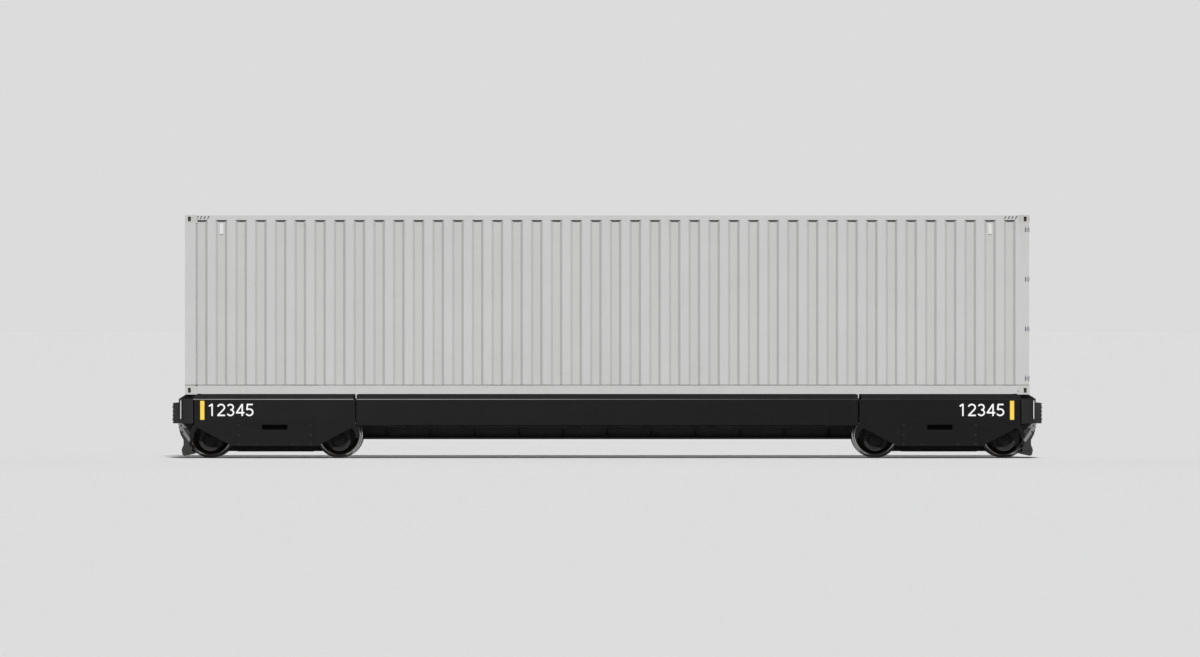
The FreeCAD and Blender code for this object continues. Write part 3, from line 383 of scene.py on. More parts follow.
def bare(name, colour, worn, rust, rough, rusty=0.3, grain=(1.0, 1.0, 1.0), metal=1.0, bump=0.0002):
    """Metal without paint: a stretched grain, and rust or grease in patches."""
    tree, shader = blank(name)
    lines = noise(tree, stretched(tree, tuple(60 * g for g in grain)), 5.0, 0.7)
    base = blend_colour(tree, lines, colour, worn)
    cloud = use(tree, CLOUDS, Scale=3.1, Contrast=2.4)
    patch = maths(tree, "MULTIPLY", fade(tree, cloud, 0.45, 0.85), rusty)
    base = blend_colour(tree, patch, base, rust)
    chips = use(tree, CHIPS, Scale=24.0, Share=0.6, Amount=rusty)
    base = blend_colour(tree, chips, base, rust)
    dull = maths(tree, "MULTIPLY_ADD", lines, 0.25, rough - 0.12)
    dull = maths(tree, "MULTIPLY_ADD", patch, 0.5, dull, clamp=True)
    height = maths(tree, "MULTIPLY", lines, bump)
    connect(tree, shader, base, dull, height, 1.0)
    tree.links.new(maths(tree, "MULTIPLY_ADD", patch, -0.7, metal, clamp=True), shader.inputs["Metallic"])
    return tree, shader, base

# %% [markdown]
# ### Container paint
# An off-white box that has worked for some years: the paint is satin and a little grey, forklifts and
# chains have left thin scratches, and rain has drawn faint runs.  A dark band, painted shade with
# some grime, sits in the corner just above the bottom rail, where the folded wall is welded on.  The
# parts of the wall that are folded in are painted a little darker, as painted shade in the folds.

# %% Container paint and casting paint
tree, shader, base = painted(
    "container_paint", rgb(0.565, 0.567, 0.561), rgb(0.50, 0.502, 0.497), 0.5, rgb(0.34, 0.33, 0.31),
    rgb(0.38, 0.37, 0.34), clouds=0.55, streaks=0.28, dust=0.25, dust_top=1.6, scratch=0.32, chip=0.12,
    ripple=0.0002, dents=0.006, dent_scale=1.9)
rail_top = float(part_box("bottom_side_rails")[1][2])
# A dark band along the corner just above the bottom rail: painted shade, with some grime.
from_corner = maths(tree, "ABSOLUTE", maths(tree, "SUBTRACT", coordinate(tree, "Z"), rail_top - 0.002))
corner_shade = clouded(tree, falling(tree, from_corner, 0.004, 0.016), 6.0, 1.6, 0.5, 0.35)
base = blend_colour(tree, corner_shade, base, rgb(0.15, 0.143, 0.13))
# Painted shade: the folded-in parts of the wall are painted a little darker.
folded_in_shade = falling(tree, maths(tree, "ABSOLUTE", coordinate(tree, "Y")), 1.186, 1.212)
base = blend_colour(tree, maths(tree, "MULTIPLY", folded_in_shade, 0.22), base, rgb(0.38, 0.375, 0.36))
tree.links.new(base, shader.inputs["Base Color"])
painted("casting_paint", rgb(0.54, 0.54, 0.53), rgb(0.47, 0.47, 0.46), 0.55, rgb(0.18, 0.115, 0.08),
        rgb(0.34, 0.32, 0.30), clouds=0.9, dust=0.25, dust_top=1.6, scratch=0.7, chip=0.45,
        ripple=0.0012, dents=0.001, dent_scale=12.0)
print("rail top at", round(rail_top, 3))

# %% Body paint: black, satin, smooth, and lighter towards the front end: painted sheen, with some road dust
tree, shader, base = painted(
    "body_paint", rgb(0.0018, 0.0018, 0.0021), rgb(0.0030, 0.0030, 0.0033), 0.36, grey(0.03),
    rgb(0.02, 0.019, 0.018), clouds=0.7, streaks=0.12, dust=0.12, dust_top=0.62, scratch=0.16, chip=0.08,
    ripple=0.0002, dents=0.002, dent_scale=1.2)
# Painted sheen: a lighter film that fades from the front end to the rear, partly road dust.
front_sheen = clouded(tree, falling(tree, coordinate(tree, "X"), -6.0, 5.0), 2.2, 1.5, 0.5, 0.5)
base = blend_colour(tree, maths(tree, "MULTIPLY", front_sheen, 0.55), base, rgb(0.012, 0.0117, 0.0113))
tree.links.new(base, shader.inputs["Base Color"])
shader.inputs["Specular IOR Level"].default_value = 0.24
painted("chassis_paint", rgb(0.0045, 0.0045, 0.0048), rgb(0.009, 0.0085, 0.008), 0.6,
        rgb(0.06, 0.035, 0.022), rgb(0.03, 0.026, 0.021), clouds=0.9, streaks=0.2, dust=0.4,
        dust_top=0.95, scratch=0.2, chip=0.3, ripple=0.0008, dents=0.001, dent_scale=5.0)
painted("bracket_grey", rgb(0.24, 0.242, 0.248), rgb(0.16, 0.162, 0.168), 0.42, rgb(0.05, 0.045, 0.04),
        rgb(0.09, 0.08, 0.07), clouds=0.9, streaks=0.2, chip=0.25, ripple=0.0006)

# %% Edge strips: the same paint, with a bright line painted along them, strongest at the front end: a painted highlight
tree, shader, base = painted("edge_highlight_paint", grey(0.006), grey(0.012), 0.3, grey(0.3), grey(0.05),
                             scratch=0.3, chip=0.1)
painted_highlight = clouded(tree, falling(tree, coordinate(tree, "X"), -4.5, 5.0), 3.0, 1.2, 0.4, 0.7)
tree.links.new(blend_colour(tree, painted_highlight, base, grey(0.32)), shader.inputs["Base Color"])

# %% Metals: galvanised, bright, cast, and the steel of wheels and axles
bare("galvanised", rgb(0.45, 0.458, 0.466), rgb(0.34, 0.348, 0.356), rgb(0.24, 0.216, 0.19), 0.5,
     rusty=0.25)
bare("dull_zinc", rgb(0.11, 0.11, 0.115), grey(0.06), rgb(0.04, 0.03, 0.025), 0.5, rusty=0.4)
bare("bright_steel", grey(0.6), grey(0.45), rgb(0.14, 0.09, 0.06), 0.35, rusty=0.25,
     grain=(0.2, 2.0, 2.0))
bare("motor_metal", grey(0.006), grey(0.010), rgb(0.012, 0.009, 0.007), 0.55, rusty=0.4, metal=0.5,
     bump=0.0006)
bare("axle_steel", rgb(0.20, 0.19, 0.18), rgb(0.12, 0.115, 0.11), rgb(0.07, 0.045, 0.03), 0.45, rusty=0.5,
     grain=(2.0, 0.15, 2.0))

# %% [markdown]
# ### Wheel steel
# A wheel is dark and rusty brown on its web, and mirror bright where it rolls on the rail and on the
# bevel beside it.  The wheel's own mesh carries a number called `polish`, 1 on the tread and 0 on
# the web, and the material blends two finishes by it, so the bright band turns with the wheel.

# %% Wheel steel
tree, shader, base = bare("wheel_steel", rgb(0.030, 0.028, 0.027), rgb(0.045, 0.041, 0.038),
                          rgb(0.055, 0.034, 0.022), 0.62, rusty=0.5, metal=0.6, bump=0.0008)
polish = lay(tree, "Attribute", attribute_name="polish").outputs["Fac"]
rings = noise(tree, stretched(tree, (9.0, 240.0, 9.0)), 3.0)
shine = blend_colour(tree, rings, rgb(0.62, 0.61, 0.60), rgb(0.44, 0.43, 0.42))
tree.links.new(blend_colour(tree, polish, base, shine), shader.inputs["Base Color"])
smooth = maths(tree, "MULTIPLY_ADD", rings, 0.16, 0.16)
for name, polished in (("Roughness", smooth), ("Metallic", 1.0)):
    rusty = shader.inputs[name].links[0].from_socket
    node = lay(tree, "Mix", {0: polish, 2: rusty, 3: polished}, data_type="FLOAT")
    tree.links.new(node.outputs[0], shader.inputs[name])
print("polish blends", len(tree.nodes), "nodes")

# %% Rubber: black, matt, with a greyish bloom and a moulded grain
def rubber(name, colour, bloom, rough):
    """Moulded rubber: a fine pimpled height, and a pale bloom in patches."""
    tree, shader = blank(name)
    cloud = use(tree, CLOUDS, Scale=4.0, Contrast=2.2)
    base = blend_colour(tree, cloud, colour, bloom)
    base = blend_colour(tree, use(tree, SCRATCHES, Scale=5.0, Width=0.01, Amount=0.5), base, bloom)
    pimples = lay(tree, "TexVoronoi", {"Vector": stretched(tree, (300.0, 300.0, 300.0)), "Scale": 1.0})
    height = maths(tree, "MULTIPLY", pimples.outputs["Distance"], 0.0004)
    dull = maths(tree, "MULTIPLY_ADD", cloud, 0.15, rough, clamp=True)
    connect(tree, shader, base, dull, height, 1.0)


rubber("bumper_rubber", grey(0.010), rgb(0.022, 0.021, 0.020), 0.6)
rubber("seal_rubber", grey(0.012), grey(0.03), 0.55)

# %% Floor timber: plywood planks along the container, oiled and dark
tree, shader = blank("floor_timber")
grain = noise(tree, stretched(tree, (1.2, 34.0, 34.0)), 6.0, 0.65)
plank = maths(tree, "DIVIDE", coordinate(tree, "Y"), 0.3)
joint = maths(tree, "ABSOLUTE", maths(tree, "SUBTRACT", maths(tree, "FRACT", plank), 0.5))
groove = fade(tree, joint, 0.485, 0.498)
tone = lay(tree, "TexWhiteNoise", {"W": maths(tree, "FLOOR", plank)}, noise_dimensions="1D").outputs[0]
base = blend_colour(tree, grain, rgb(0.22, 0.13, 0.075), rgb(0.38, 0.25, 0.15))
base = blend_colour(tree, maths(tree, "MULTIPLY", tone, 0.35), base, rgb(0.17, 0.105, 0.062))
scuffs = use(tree, SCRATCHES, Scale=3.0, Width=0.012, Amount=0.6)
base = blend_colour(tree, scuffs, base, rgb(0.10, 0.07, 0.05))
base = blend_colour(tree, groove, base, rgb(0.03, 0.02, 0.015))
height = maths(tree, "MULTIPLY_ADD", grain, 0.0006, maths(tree, "MULTIPLY", groove, -0.003))
connect(tree, shader, base, maths(tree, "MULTIPLY_ADD", grain, 0.25, 0.4), height, 1.0)

# %% Lamp lens, and the paints of the markings
tree, shader = blank("lamp_lens")
fluting = lay(tree, "TexWave", {"Vector": stretched(tree, (1.0, 1.0, 1.0)), "Scale": 45.0},
              bands_direction="Z").outputs["Fac"]
base = blend_colour(tree, fluting, rgb(0.72, 0.74, 0.76), rgb(0.88, 0.89, 0.90))
connect(tree, shader, base, maths(tree, "MULTIPLY_ADD", fluting, 0.06, 0.08),
        maths(tree, "MULTIPLY", fluting, 0.0006), 1.0)
shader.inputs["Emission Color"].default_value = rgb(0.95, 0.97, 1.0)
shader.inputs["Emission Strength"].default_value = 0.12


def marking(name, colour, faded):
    """Vinyl or stencil paint: bright, a little faded, scratched through to the black."""
    tree, shader = blank(name)
    base = blend_colour(tree, use(tree, CLOUDS, Scale=9.0, Contrast=2.0), colour, faded)
    worn = use(tree, CHIPS, Scale=30.0, Share=0.35, Amount=0.7)
    base = blend_colour(tree, worn, base, grey(0.03))
    height = use(tree, SKIN, Ripple=0.0001, Dents=0.0004, Dent_Scale=9.0)
    connect(tree, shader, base, maths(tree, "MULTIPLY_ADD", worn, 0.3, 0.42), height, 1.0)


marking("marking_white", grey(0.95), rgb(0.88, 0.88, 0.87))
marking("marking_yellow", rgb(0.95, 0.68, 0.09), rgb(0.91, 0.61, 0.075))
marking("marking_black", grey(0.02), grey(0.05))
marking("sealant_and_shade", rgb(0.17, 0.165, 0.155), rgb(0.11, 0.105, 0.10))
marking("socket_shade", rgb(0.012, 0.011, 0.010), rgb(0.03, 0.02, 0.014))
marking("plate_white", rgb(0.50, 0.50, 0.485), rgb(0.41, 0.41, 0.39))
# Pitch black with almost no shine, for the louvre behind the slot: painted shade.
marking("slot_shade_black", grey(0.0006), grey(0.0012))
marking("vent_white", grey(0.70), rgb(0.66, 0.66, 0.65))
shader = finishes["slot_shade_black"].node_tree.nodes["Principled BSDF"]
shader.inputs["Specular IOR Level"].default_value = 0.02

# %% Every node of the design takes its finish by its slot
slots = {part["node"]: part["material_slot"] for part in frame["record"]["subparts"]}
for name, node in frame["nodes"].items():
    node.data.materials.clear()
    node.data.materials.append(finishes[slots[name]])
frame["nodes"]["edge_strips"].data.materials[0] = finishes["edge_highlight_paint"]
frame["nodes"]["ventilators"].data.materials[0] = finishes["vent_white"]
print(len(finishes), "finishes on", len(slots), "nodes")

# %% [markdown]
# ## Surfaces as stacks of rings
# Nearly every small part here is a stack of rings: a bolt is a few rings of six points, a wheel is
# its cross-section carried round the axle, a pipe is a circle carried along a path.  So one function
# turns an array of rings, shape (stations, points, 3), into faces, and the others only work out
# where the rings lie.  A shape is a pair: its vertices, and a list of face arrays.

# %% Rings into faces
def skin(rings, loop=False):
    """Point j of station i is vertex i * points + j.  Faces join it to j + 1 and to station i + 1.
    A loop joins the last station to the first; otherwise both ends are closed with a flat face."""
    rings = np.asarray(rings, float)
    stations, points = rings.shape[:2]
    index = np.arange(stations * points).reshape(stations, points)
    here, there = (index, np.roll(index, -1, 0)) if loop else (index[:-1], index[1:])
    quads = np.stack([here, np.roll(here, -1, 1), np.roll(there, -1, 1), there], -1).reshape(-1, 4)
    faces = [quads] if loop else [quads, np.stack([index[0][::-1], index[-1]])]
    return rings.reshape(-1, 3), faces


def raised(ring, level):
    """An outline in x and y, lifted to one level: its third coordinate is the level."""
    return np.column_stack([ring, np.full(len(ring), level)])


def gather(shapes):
    """Several shapes as one: each one's vertex numbers are raised by the vertices before it."""
    starts = np.cumsum([0] + [len(vertices) for vertices, _ in shapes])
    faces = [face + start for (_, parts), start in zip(shapes, starts) for face in parts]
    return np.concatenate([vertices for vertices, _ in shapes]), faces


def copies(shape, places):
    """A shape at many places: vertex k of copy i is place i plus vertex k."""
    vertices, parts = shape
    places = np.asarray(places, float)
    starts = np.arange(len(places))[:, None, None] * len(vertices)
    faces = [(part[None] + starts).reshape(-1, part.shape[1]) for part in parts]
    return (places[:, None] + vertices[None]).reshape(-1, 3), faces


def aimed(shape, along, across, place=(0, 0, 0)):
    """Turns a shape: its x goes along, its y goes across, and its z goes square to both."""
    along, across = np.array(along, float), np.array(across, float)
    along, across = along / np.linalg.norm(along), across / np.linalg.norm(across)
    return shape[0] @ np.stack([along, across, np.cross(along, across)]) + np.array(place), shape[1]


def flipped(shape, *axes):
    """The mirror image in each named axis: those coordinates change sign."""
    signs = np.array([-1.0 if axis in axes else 1.0 for axis in "xyz"])
    return shape[0] * signs, shape[1]


def both(shape, axis):
    """A shape and its mirror image."""
    return gather([shape, flipped(shape, axis)])


def all_corners(shape):
    """A shape at the near rear corner, and its images at the other three."""
    return both(both(shape, "y"), "x")


def piece(name, shapes, body, finish, crease=32):
    """Puts shapes into one mesh, merges doubled points, turns faces outwards, and sets it riding."""
    vertices, parts = gather(shapes)
    loops = np.concatenate([part.ravel() for part in parts])
    sizes = np.concatenate([np.full(len(part), part.shape[1]) for part in parts])
    mesh = bpy.data.meshes.new(name)
    mesh.vertices.add(len(vertices))
    mesh.vertices.foreach_set("co", vertices.ravel())
    mesh.loops.add(len(loops))
    mesh.loops.foreach_set("vertex_index", loops.astype(np.int32))
    mesh.polygons.add(len(sizes))
    mesh.polygons.foreach_set("loop_start", (np.cumsum(sizes) - sizes).astype(np.int32))
    mesh.update(calc_edges=True)
    work = bmesh.new()
    work.from_mesh(mesh)
    bmesh.ops.remove_doubles(work, verts=work.verts, dist=1e-6)
    bmesh.ops.recalc_face_normals(work, faces=work.faces)
    work.to_mesh(mesh)
    work.free()
    mesh.shade_smooth()
    mesh.set_sharp_from_angle(angle=math.radians(crease))
    mesh.materials.append(finishes[finish])
    made = bpy.data.objects.new(name, mesh)
    bpy.context.scene.collection.objects.link(made)
    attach(made, body)
    print(f"{name}: {len(mesh.polygons)} faces on {body}")
    return made

# %% Outlines and simple solids
def circle(radius, points):
    """Point j is at angle 2 pi j / points on a circle."""
    angle = np.arange(points) * 2 * np.pi / points
    return np.stack([radius * np.cos(angle), radius * np.sin(angle)], -1)


def eased(corners, ease, steps=4):
    """Corners cut back by ease on both sides and joined by the parabola
    (1 - t)^2 a + 2 t (1 - t) corner + t^2 b, for t from 0 to 1."""
    corners = np.asarray(corners, float)

    def cut(other):
        span = other - corners
        return corners + span * np.minimum(ease / np.linalg.norm(span, axis=1, keepdims=True), 0.45)
    a, b = cut(np.roll(corners, 1, 0)), cut(np.roll(corners, -1, 0))
    t = np.linspace(0, 1, steps)[None, :, None]
    curve = (1 - t) ** 2 * a[:, None] + 2 * t * (1 - t) * corners[:, None] + t ** 2 * b[:, None]
    return curve.reshape(-1, corners.shape[1])


def rectangle(width, height, ease=0.0, steps=3):
    """A rectangle about the middle, its corners rounded by ease."""
    corners = np.array([(-1, -1), (1, -1), (1, 1), (-1, 1)]) * (width / 2, height / 2)
    return eased(corners, ease, steps) if ease else corners


def solid(outline, start, end, edge=0.0):
    """An outline in x and y, raised from z = start to z = end.  With an edge, the last ring is drawn
    in by that much towards the middle, which bevels the rim."""
    outline = np.asarray(outline, float)
    middle = (outline.max(0) + outline.min(0)) / 2
    half = (outline.max(0) - outline.min(0)) / 2
    small = middle + (outline - middle) * (1 - edge / half)
    levels = [(outline, start), (outline, end - edge), (small, end)] if edge else [
        (outline, start), (outline, end)]
    return skin([raised(ring, level) for ring, level in levels])


def turned(profile, points, loop=False):
    """A profile of (radius, height) turned about z: ring i has radius r_i at height h_i."""
    profile = np.asarray(profile, float)
    ring = circle(1.0, points)
    rings = profile[:, None, :1] * ring[None]
    heights = np.broadcast_to(profile[:, None, 1:], rings.shape[:2] + (1,))
    return skin(np.concatenate([rings, heights], -1), loop)


def directions(path):
    """A path's own direction at each point, with length 1."""
    ahead = np.gradient(path, axis=0)
    return ahead / np.linalg.norm(ahead, axis=1, keepdims=True)


def pipe(path, radius, points):
    """A circle carried along a path.  Its plane is square to the path's direction at each point."""
    ahead = directions(path)
    side = np.cross(ahead, (0.0, 0.0, 1.0))
    side /= np.linalg.norm(side, axis=1, keepdims=True)
    top = np.cross(side, ahead)
    ring = circle(1.0, points) * radius
    return skin(path[:, None] + ring[None, :, :1] * side[:, None] + ring[None, :, 1:] * top[:, None])


def carried(section, start, end):
    """A closed section of (x, z), carried straight across the car from y = start to y = end."""
    x, z = section.T
    return skin([np.column_stack([x, np.full(len(x), y), z]) for y in (start, end)])


def rimmed(levels):
    """A frame round a hole: outlines at levels, (outline, level) each, that close on themselves."""
    return skin([raised(ring, level) for ring, level in levels], True)


def bolt(radius, height):
    """A hexagon head on its washer: five rings of points, the last drawn in as the chamfer."""
    washer = solid(circle(radius * 1.25, 12), 0.0, height * 0.2)
    head = solid(circle(radius, 6), height * 0.2, height, edge=radius * 0.12)
    return gather([washer, head])


def cap_head(radius, height):
    """A low domed head: ring i has radius r cos(a) at height h sin(a), for a from 0 to 80 degrees."""
    angle = np.radians(np.linspace(0, 80, 5))
    return turned(np.column_stack([radius * np.cos(angle), height * np.sin(angle)]), 12)


print("a bolt has", sum(len(part) for part in bolt(0.01, 0.006)[1]), "faces")

# %% [markdown]
# ## Wheels
# A rail wheel is forged: a flange, a slightly coned tread, a dished web and a hub, all meeting in
# generous curves that the design leaves sharp.  One cross-section is eased at its corners and turned
# about the axle.  The new wheels replace the design's, and carry the `polish` number.

# %% Wheels
AXLE_HEIGHT = 0.338
BOGIES = {"front": -4.8, "rear": 4.8}
AXLES = {"outer": 0.93, "inner": -0.93}


def wheel_profile():
    """(radius, distance from the centre line) round the section, from the hub's bore and back to it."""
    corners = [(0.0805, 0.682), (0.132, 0.682), (0.150, 0.722), (0.232, 0.716), (0.262, 0.700),
               (0.270, 0.6825), (0.318, 0.6805), (0.3378, 0.690), (0.3372, 0.703), (0.322, 0.712),
               (0.3115, 0.722), (0.3100, 0.745), (0.3085, 0.8065), (0.2925, 0.8145), (0.266, 0.8140),
               (0.256, 0.790), (0.240, 0.760), (0.160, 0.752), (0.138, 0.790), (0.1355, 0.812),
               (0.0805, 0.812)]
    return eased(corners, 0.010, 4)


def axle_at(end, place):
    """Where an axle lies along x.  The outer axle is the one nearer to the vehicle's end."""
    return BOGIES[end] + (AXLES[place] if end == "rear" else -AXLES[place])


def wheelset(end, place):
    """Two wheels on one axle.  Turned about z, then z is aimed along the axle.  A point's polish is
    the product of two slopes over its radius, one up at the tread's inner edge, one down at its rim."""
    middle = axle_at(end, place)
    one = turned(wheel_profile(), 96, loop=True)
    one = aimed(one, (1, 0, 0), (0, 0, 1), (middle, 0, AXLE_HEIGHT))
    made = piece(f"{end}_{place}_wheel_pair", [both(one, "y")], f"{end}_{place}_wheelset",
                 "wheel_steel", 50)
    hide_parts(f"{end}_{place}_wheels")
    points = np.zeros(len(made.data.vertices) * 3)
    made.data.vertices.foreach_get("co", points)
    x, y, z = points.reshape(-1, 3).T
    radius = np.hypot(x - middle, z - AXLE_HEIGHT)
    polish = np.clip((radius - 0.289) / 0.004, 0, 1) * np.clip((0.337 - radius) / 0.004, 0.15, 1)
    made.data.attributes.new("polish", "FLOAT", "POINT").data.foreach_set("value", polish)
    return middle


for end in BOGIES:
    print(end, [round(wheelset(end, place), 2) for place in AXLES])

# %% [markdown]
# ## Motors and running gear
# Each wheel has its motor on the outside of the bogie's beam, under a round cover.  A ring of bolts
# holds the cover, and in its dish sits a stepped bearing cap with its own small bolts.  The bolts are
# small and there are about two hundred, so each has only thirty-odd faces.

# %% Motor covers' bolts and bearing caps
MOTOR_LEVEL, MOTOR_FACE = 0.267, 1.060
DISH_FLOOR = MOTOR_FACE - 0.025
COVER_BOLTS, CAP_BOLTS = 22, 8


def motor_parts(end):
    """The bolts and the bearing caps of a bogie's four motors, facing outwards."""
    bolts, caps = [], []
    ring = raised(circle(0.1515, COVER_BOLTS), 0.0)
    small = raised(circle(0.062, CAP_BOLTS), 0.0135)
    step = turned([(0.098, 0.0), (0.098, 0.004), (0.094, 0.006), (0.080, 0.006), (0.078, 0.012),
                   (0.074, 0.0135), (0.046, 0.0135), (0.044, 0.019), (0.040, 0.0205), (0.012, 0.0205),
                   (0.010, 0.0185)], 48)
    for offset in AXLES.values():
        place = (BOGIES[end] + offset, 0, MOTOR_LEVEL)
        for side in (-1, 1):
            def out(shape, depth):
                return aimed(shape, (1, 0, 0), (0, 0, -side), np.add(place, (0, side * depth, 0)))
            bolts.append(out(copies(bolt(0.0068, 0.007), ring), MOTOR_FACE))
            bolts.append(out(copies(bolt(0.006, 0.005), small), DISH_FLOOR))
            caps.append(out(step, DISH_FLOOR))
    return bolts, caps


for end in BOGIES:
    bolts, caps = motor_parts(end)
    piece(f"{end}_motor_bolts", bolts, f"{end}_bogie", "dull_zinc")
    piece(f"{end}_motor_caps", caps, f"{end}_bogie", "motor_metal")

# %% Cooling fins and lids of the equipment cases between the wheels
def fins(end):
    """Upright fins along both sides of the case, bevelled plates 16 mm deep, and its lid below."""
    middle = BOGIES[end]
    one = aimed(solid(rectangle(0.010, 0.27, 0.004), 0.0, 0.016, 0.002), (1, 0, 0), (0, 0, 1))
    rows = [(middle + along, -0.6, 0.28) for along in np.linspace(-0.62, 0.62, 27)]
    lid = aimed(solid(rectangle(1.1, 1.0, 0.03), 0.0, 0.006, 0.002), (1, 0, 0), (0, -1, 0),
                (middle, 0, 0.098))
    return [both(copies(one, rows), "y"), lid]


for end in BOGIES:
    piece(f"{end}_case_fins", fins(end), f"{end}_bogie", "chassis_paint")

# %% [markdown]
# ## The flatcar's body
# The black body is folded plate.  What brings it to life is small: a painted highlight along the fold,
# the panel's quarter-turn fasteners, a louvre behind the slot, the seal in the gap between the
# decks, and at each end a stripe and the car's number.

# %% Where the side faces lie
SIDE = 1.298                    # half the width over the upright faces
KNEE = 0.555                    # the fold below which the side leans inwards
LEAN = math.radians(12)
OUT = np.array([0, -math.cos(LEAN), -math.sin(LEAN)])
UP = np.array([0, -math.sin(LEAN), math.cos(LEAN)])


def lower_side(height):
    """Half the width over the leaning faces at a height below the knee."""
    return SIDE - (KNEE - height) * math.tan(LEAN)


print("skirt's foot at", round(lower_side(0.178), 3))

# %% [markdown]
# ### Markings
# The digits are drawn with one stroke width, like a stencil cut for a sign: each is a path of arcs
# and lines, and a thin bar is carried along it.  The number is a placeholder.

# %% Digits as strokes
def arc(x, y, radius, start, end, points=16):
    """Points at (x + r cos a, y + r sin a), for a from start to end degrees."""
    angle = np.radians(np.linspace(start, end, points))
    return np.stack([x + radius * np.cos(angle), y + radius * np.sin(angle)], -1)


STROKES = {
    "1": [[(0.10, 0.80), (0.36, 0.985)], [(0.34, 0.0), (0.34, 1.0)]],
    "2": [np.concatenate([arc(0.30, 0.70, 0.25, 165, -38), [(0.06, 0.055)]]),
          [(0.02, 0.055), (0.60, 0.055)]],
    "3": [arc(0.29, 0.725, 0.215, 155, -90), arc(0.29, 0.285, 0.235, 90, -155, 18)],
    "4": [[(0.47, 0.0), (0.47, 1.0)], [(0.46, 0.965), (0.04, 0.26)], [(0.0, 0.27), (0.64, 0.27)]],
    "5": [[(0.12, 0.945), (0.55, 0.945)], [(0.16, 0.98), (0.11, 0.50)],
          arc(0.29, 0.31, 0.26, 130, -150, 20)],
}


def stroke(path, width, lift):
    """A bar along a path: at each point, two points half a width to its left and right, low and high.
    The side direction is the path's own, turned by a right angle."""
    ahead = directions(path)
    side = np.stack([-ahead[:, 1], ahead[:, 0]], -1) * width / 2
    left, right = path + side, path - side
    return skin(np.stack([raised(left, 0.0), raised(left, lift), raised(right, lift),
                          raised(right, 0.0)], 1))


def number(text, tall, pitch, width, lift):
    """The digits side by side, each pitch further along, in the plane of x and y."""
    bars = []
    for place, digit in enumerate(text):
        for layer, path in enumerate(STROKES[digit]):
            path = np.asarray(path, float) * (tall * 1.1, tall) + (place * pitch, 0)
            bars.append(stroke(path, width, lift + layer * 0.0001))
    return gather(bars)


def sides(shape):
    """A shape on the near side, and the same turned half round for the far side."""
    return [shape, flipped(shape, "x", "y")]


digits = number("12345", tall=0.176, pitch=0.1365, width=0.0218, lift=0.0008)
numbers = []
for start in (-5.768, 5.066):
    numbers += sides(aimed(digits, (1, 0, 0), (0, 0, 1), (start, -SIDE, 0.610)))
piece("car_numbers", numbers, "car", "marking_white")

stripe = aimed(solid(rectangle(0.060, 0.274, 0.004), 0.0, 0.0009), (1, 0, 0), (0, 0, 1))
places = [(-5.844, -SIDE, 0.693), (5.841, -SIDE, 0.693)]
piece("end_stripes", sides(copies(stripe, places)), "car", "marking_yellow")

# %% Access panels: fasteners, and the louvre behind the slot, painted pitch black as painted shade
def on_panel(shape, along, height, sink=0.0):
    """Stands a shape on the near side's leaning face, its z pointing out of the plate."""
    foot = np.array([along, -lower_side(height), height]) - OUT * sink
    return aimed(shape, (1, 0, 0), UP, foot)


fastener = gather([turned([(0.013, 0.0), (0.013, 0.0012), (0.011, 0.002), (0.004, 0.002)], 16),
                   solid(rectangle(0.014, 0.003), 0.0015, 0.0028)])
spots = [(along, 0.200) for along in (-0.52, -0.26, 0.26, 0.52)]
spots += [(along, height) for along in (-0.52, 0.52) for height in (0.475, 0.335)]
blade = solid(rectangle(0.352, 0.017, 0.006), 0.0, 0.004, 0.001)
backing = solid(rectangle(0.40, 0.10, 0.01), 0.0, 0.003)
fasteners, blades = [], []
for middle in BOGIES.values():
    fasteners += [on_panel(fastener, middle + along, height) for along, height in spots]
    blades += [on_panel(blade, middle, height, 0.022) for height in (0.4235, 0.4425, 0.4615, 0.4790)]
    blades.append(on_panel(backing, middle, 0.4485, 0.034))
piece("panel_fasteners", sides(gather(fasteners)), "car", "chassis_paint")
piece("slot_louvres", sides(gather(blades)), "car", "slot_shade_black")

# %% The seal between the decks
GAP = 3.643                     # the middle of the gap, along the rails
SEAL_END, SEAL_STEP = 1.262, 1.02
FOLDS = 24


def seal():
    """A rubber bellows: its section zigzags between the two decks, x = gap + swing cos(pi i) at fold
    i, and is carried across the car.  It hangs lower at the sides than in the middle, where the
    wheels and beams swing under it."""
    shapes = [carried(rectangle(0.043, 0.012, 0.004) + (GAP, 0.842), -SEAL_END, SEAL_END)]
    zig = GAP + 0.0015 + 0.0065 * np.cos(np.arange(FOLDS) * np.pi)
    for low, start, end in ((0.505, -SEAL_END, -SEAL_STEP), (0.700, -SEAL_STEP, SEAL_STEP),
                            (0.505, SEAL_STEP, SEAL_END)):
        level = np.linspace(low, 0.846, FOLDS)
        near = np.column_stack([zig - 0.004, level])
        far = np.column_stack([zig + 0.004, level])[::-1]
        shapes.append(carried(np.concatenate([near, far]), start, end))
        shapes.append(carried(rectangle(0.043, 0.014, 0.004) + (GAP, low - 0.005), start, end))
    return gather(shapes)


piece("deck_seals", [both(seal(), "x")], "car", "seal_rubber", 60)

# %% [markdown]
# ### Ends
# Each nose carries a rubber bumper with long grooves, which take up small knocks, held by eight bolts
# that sit in cups.  At the corners stand narrow lamps: a clear fluted lens in a dark frame.

# %% Bumpers
BUMPER_FOOT, BUMPER_TOP, GROOVES = 0.502, 0.798, 5
BUMPER_BACK, BUMPER_FACE = 6.1905, 6.284


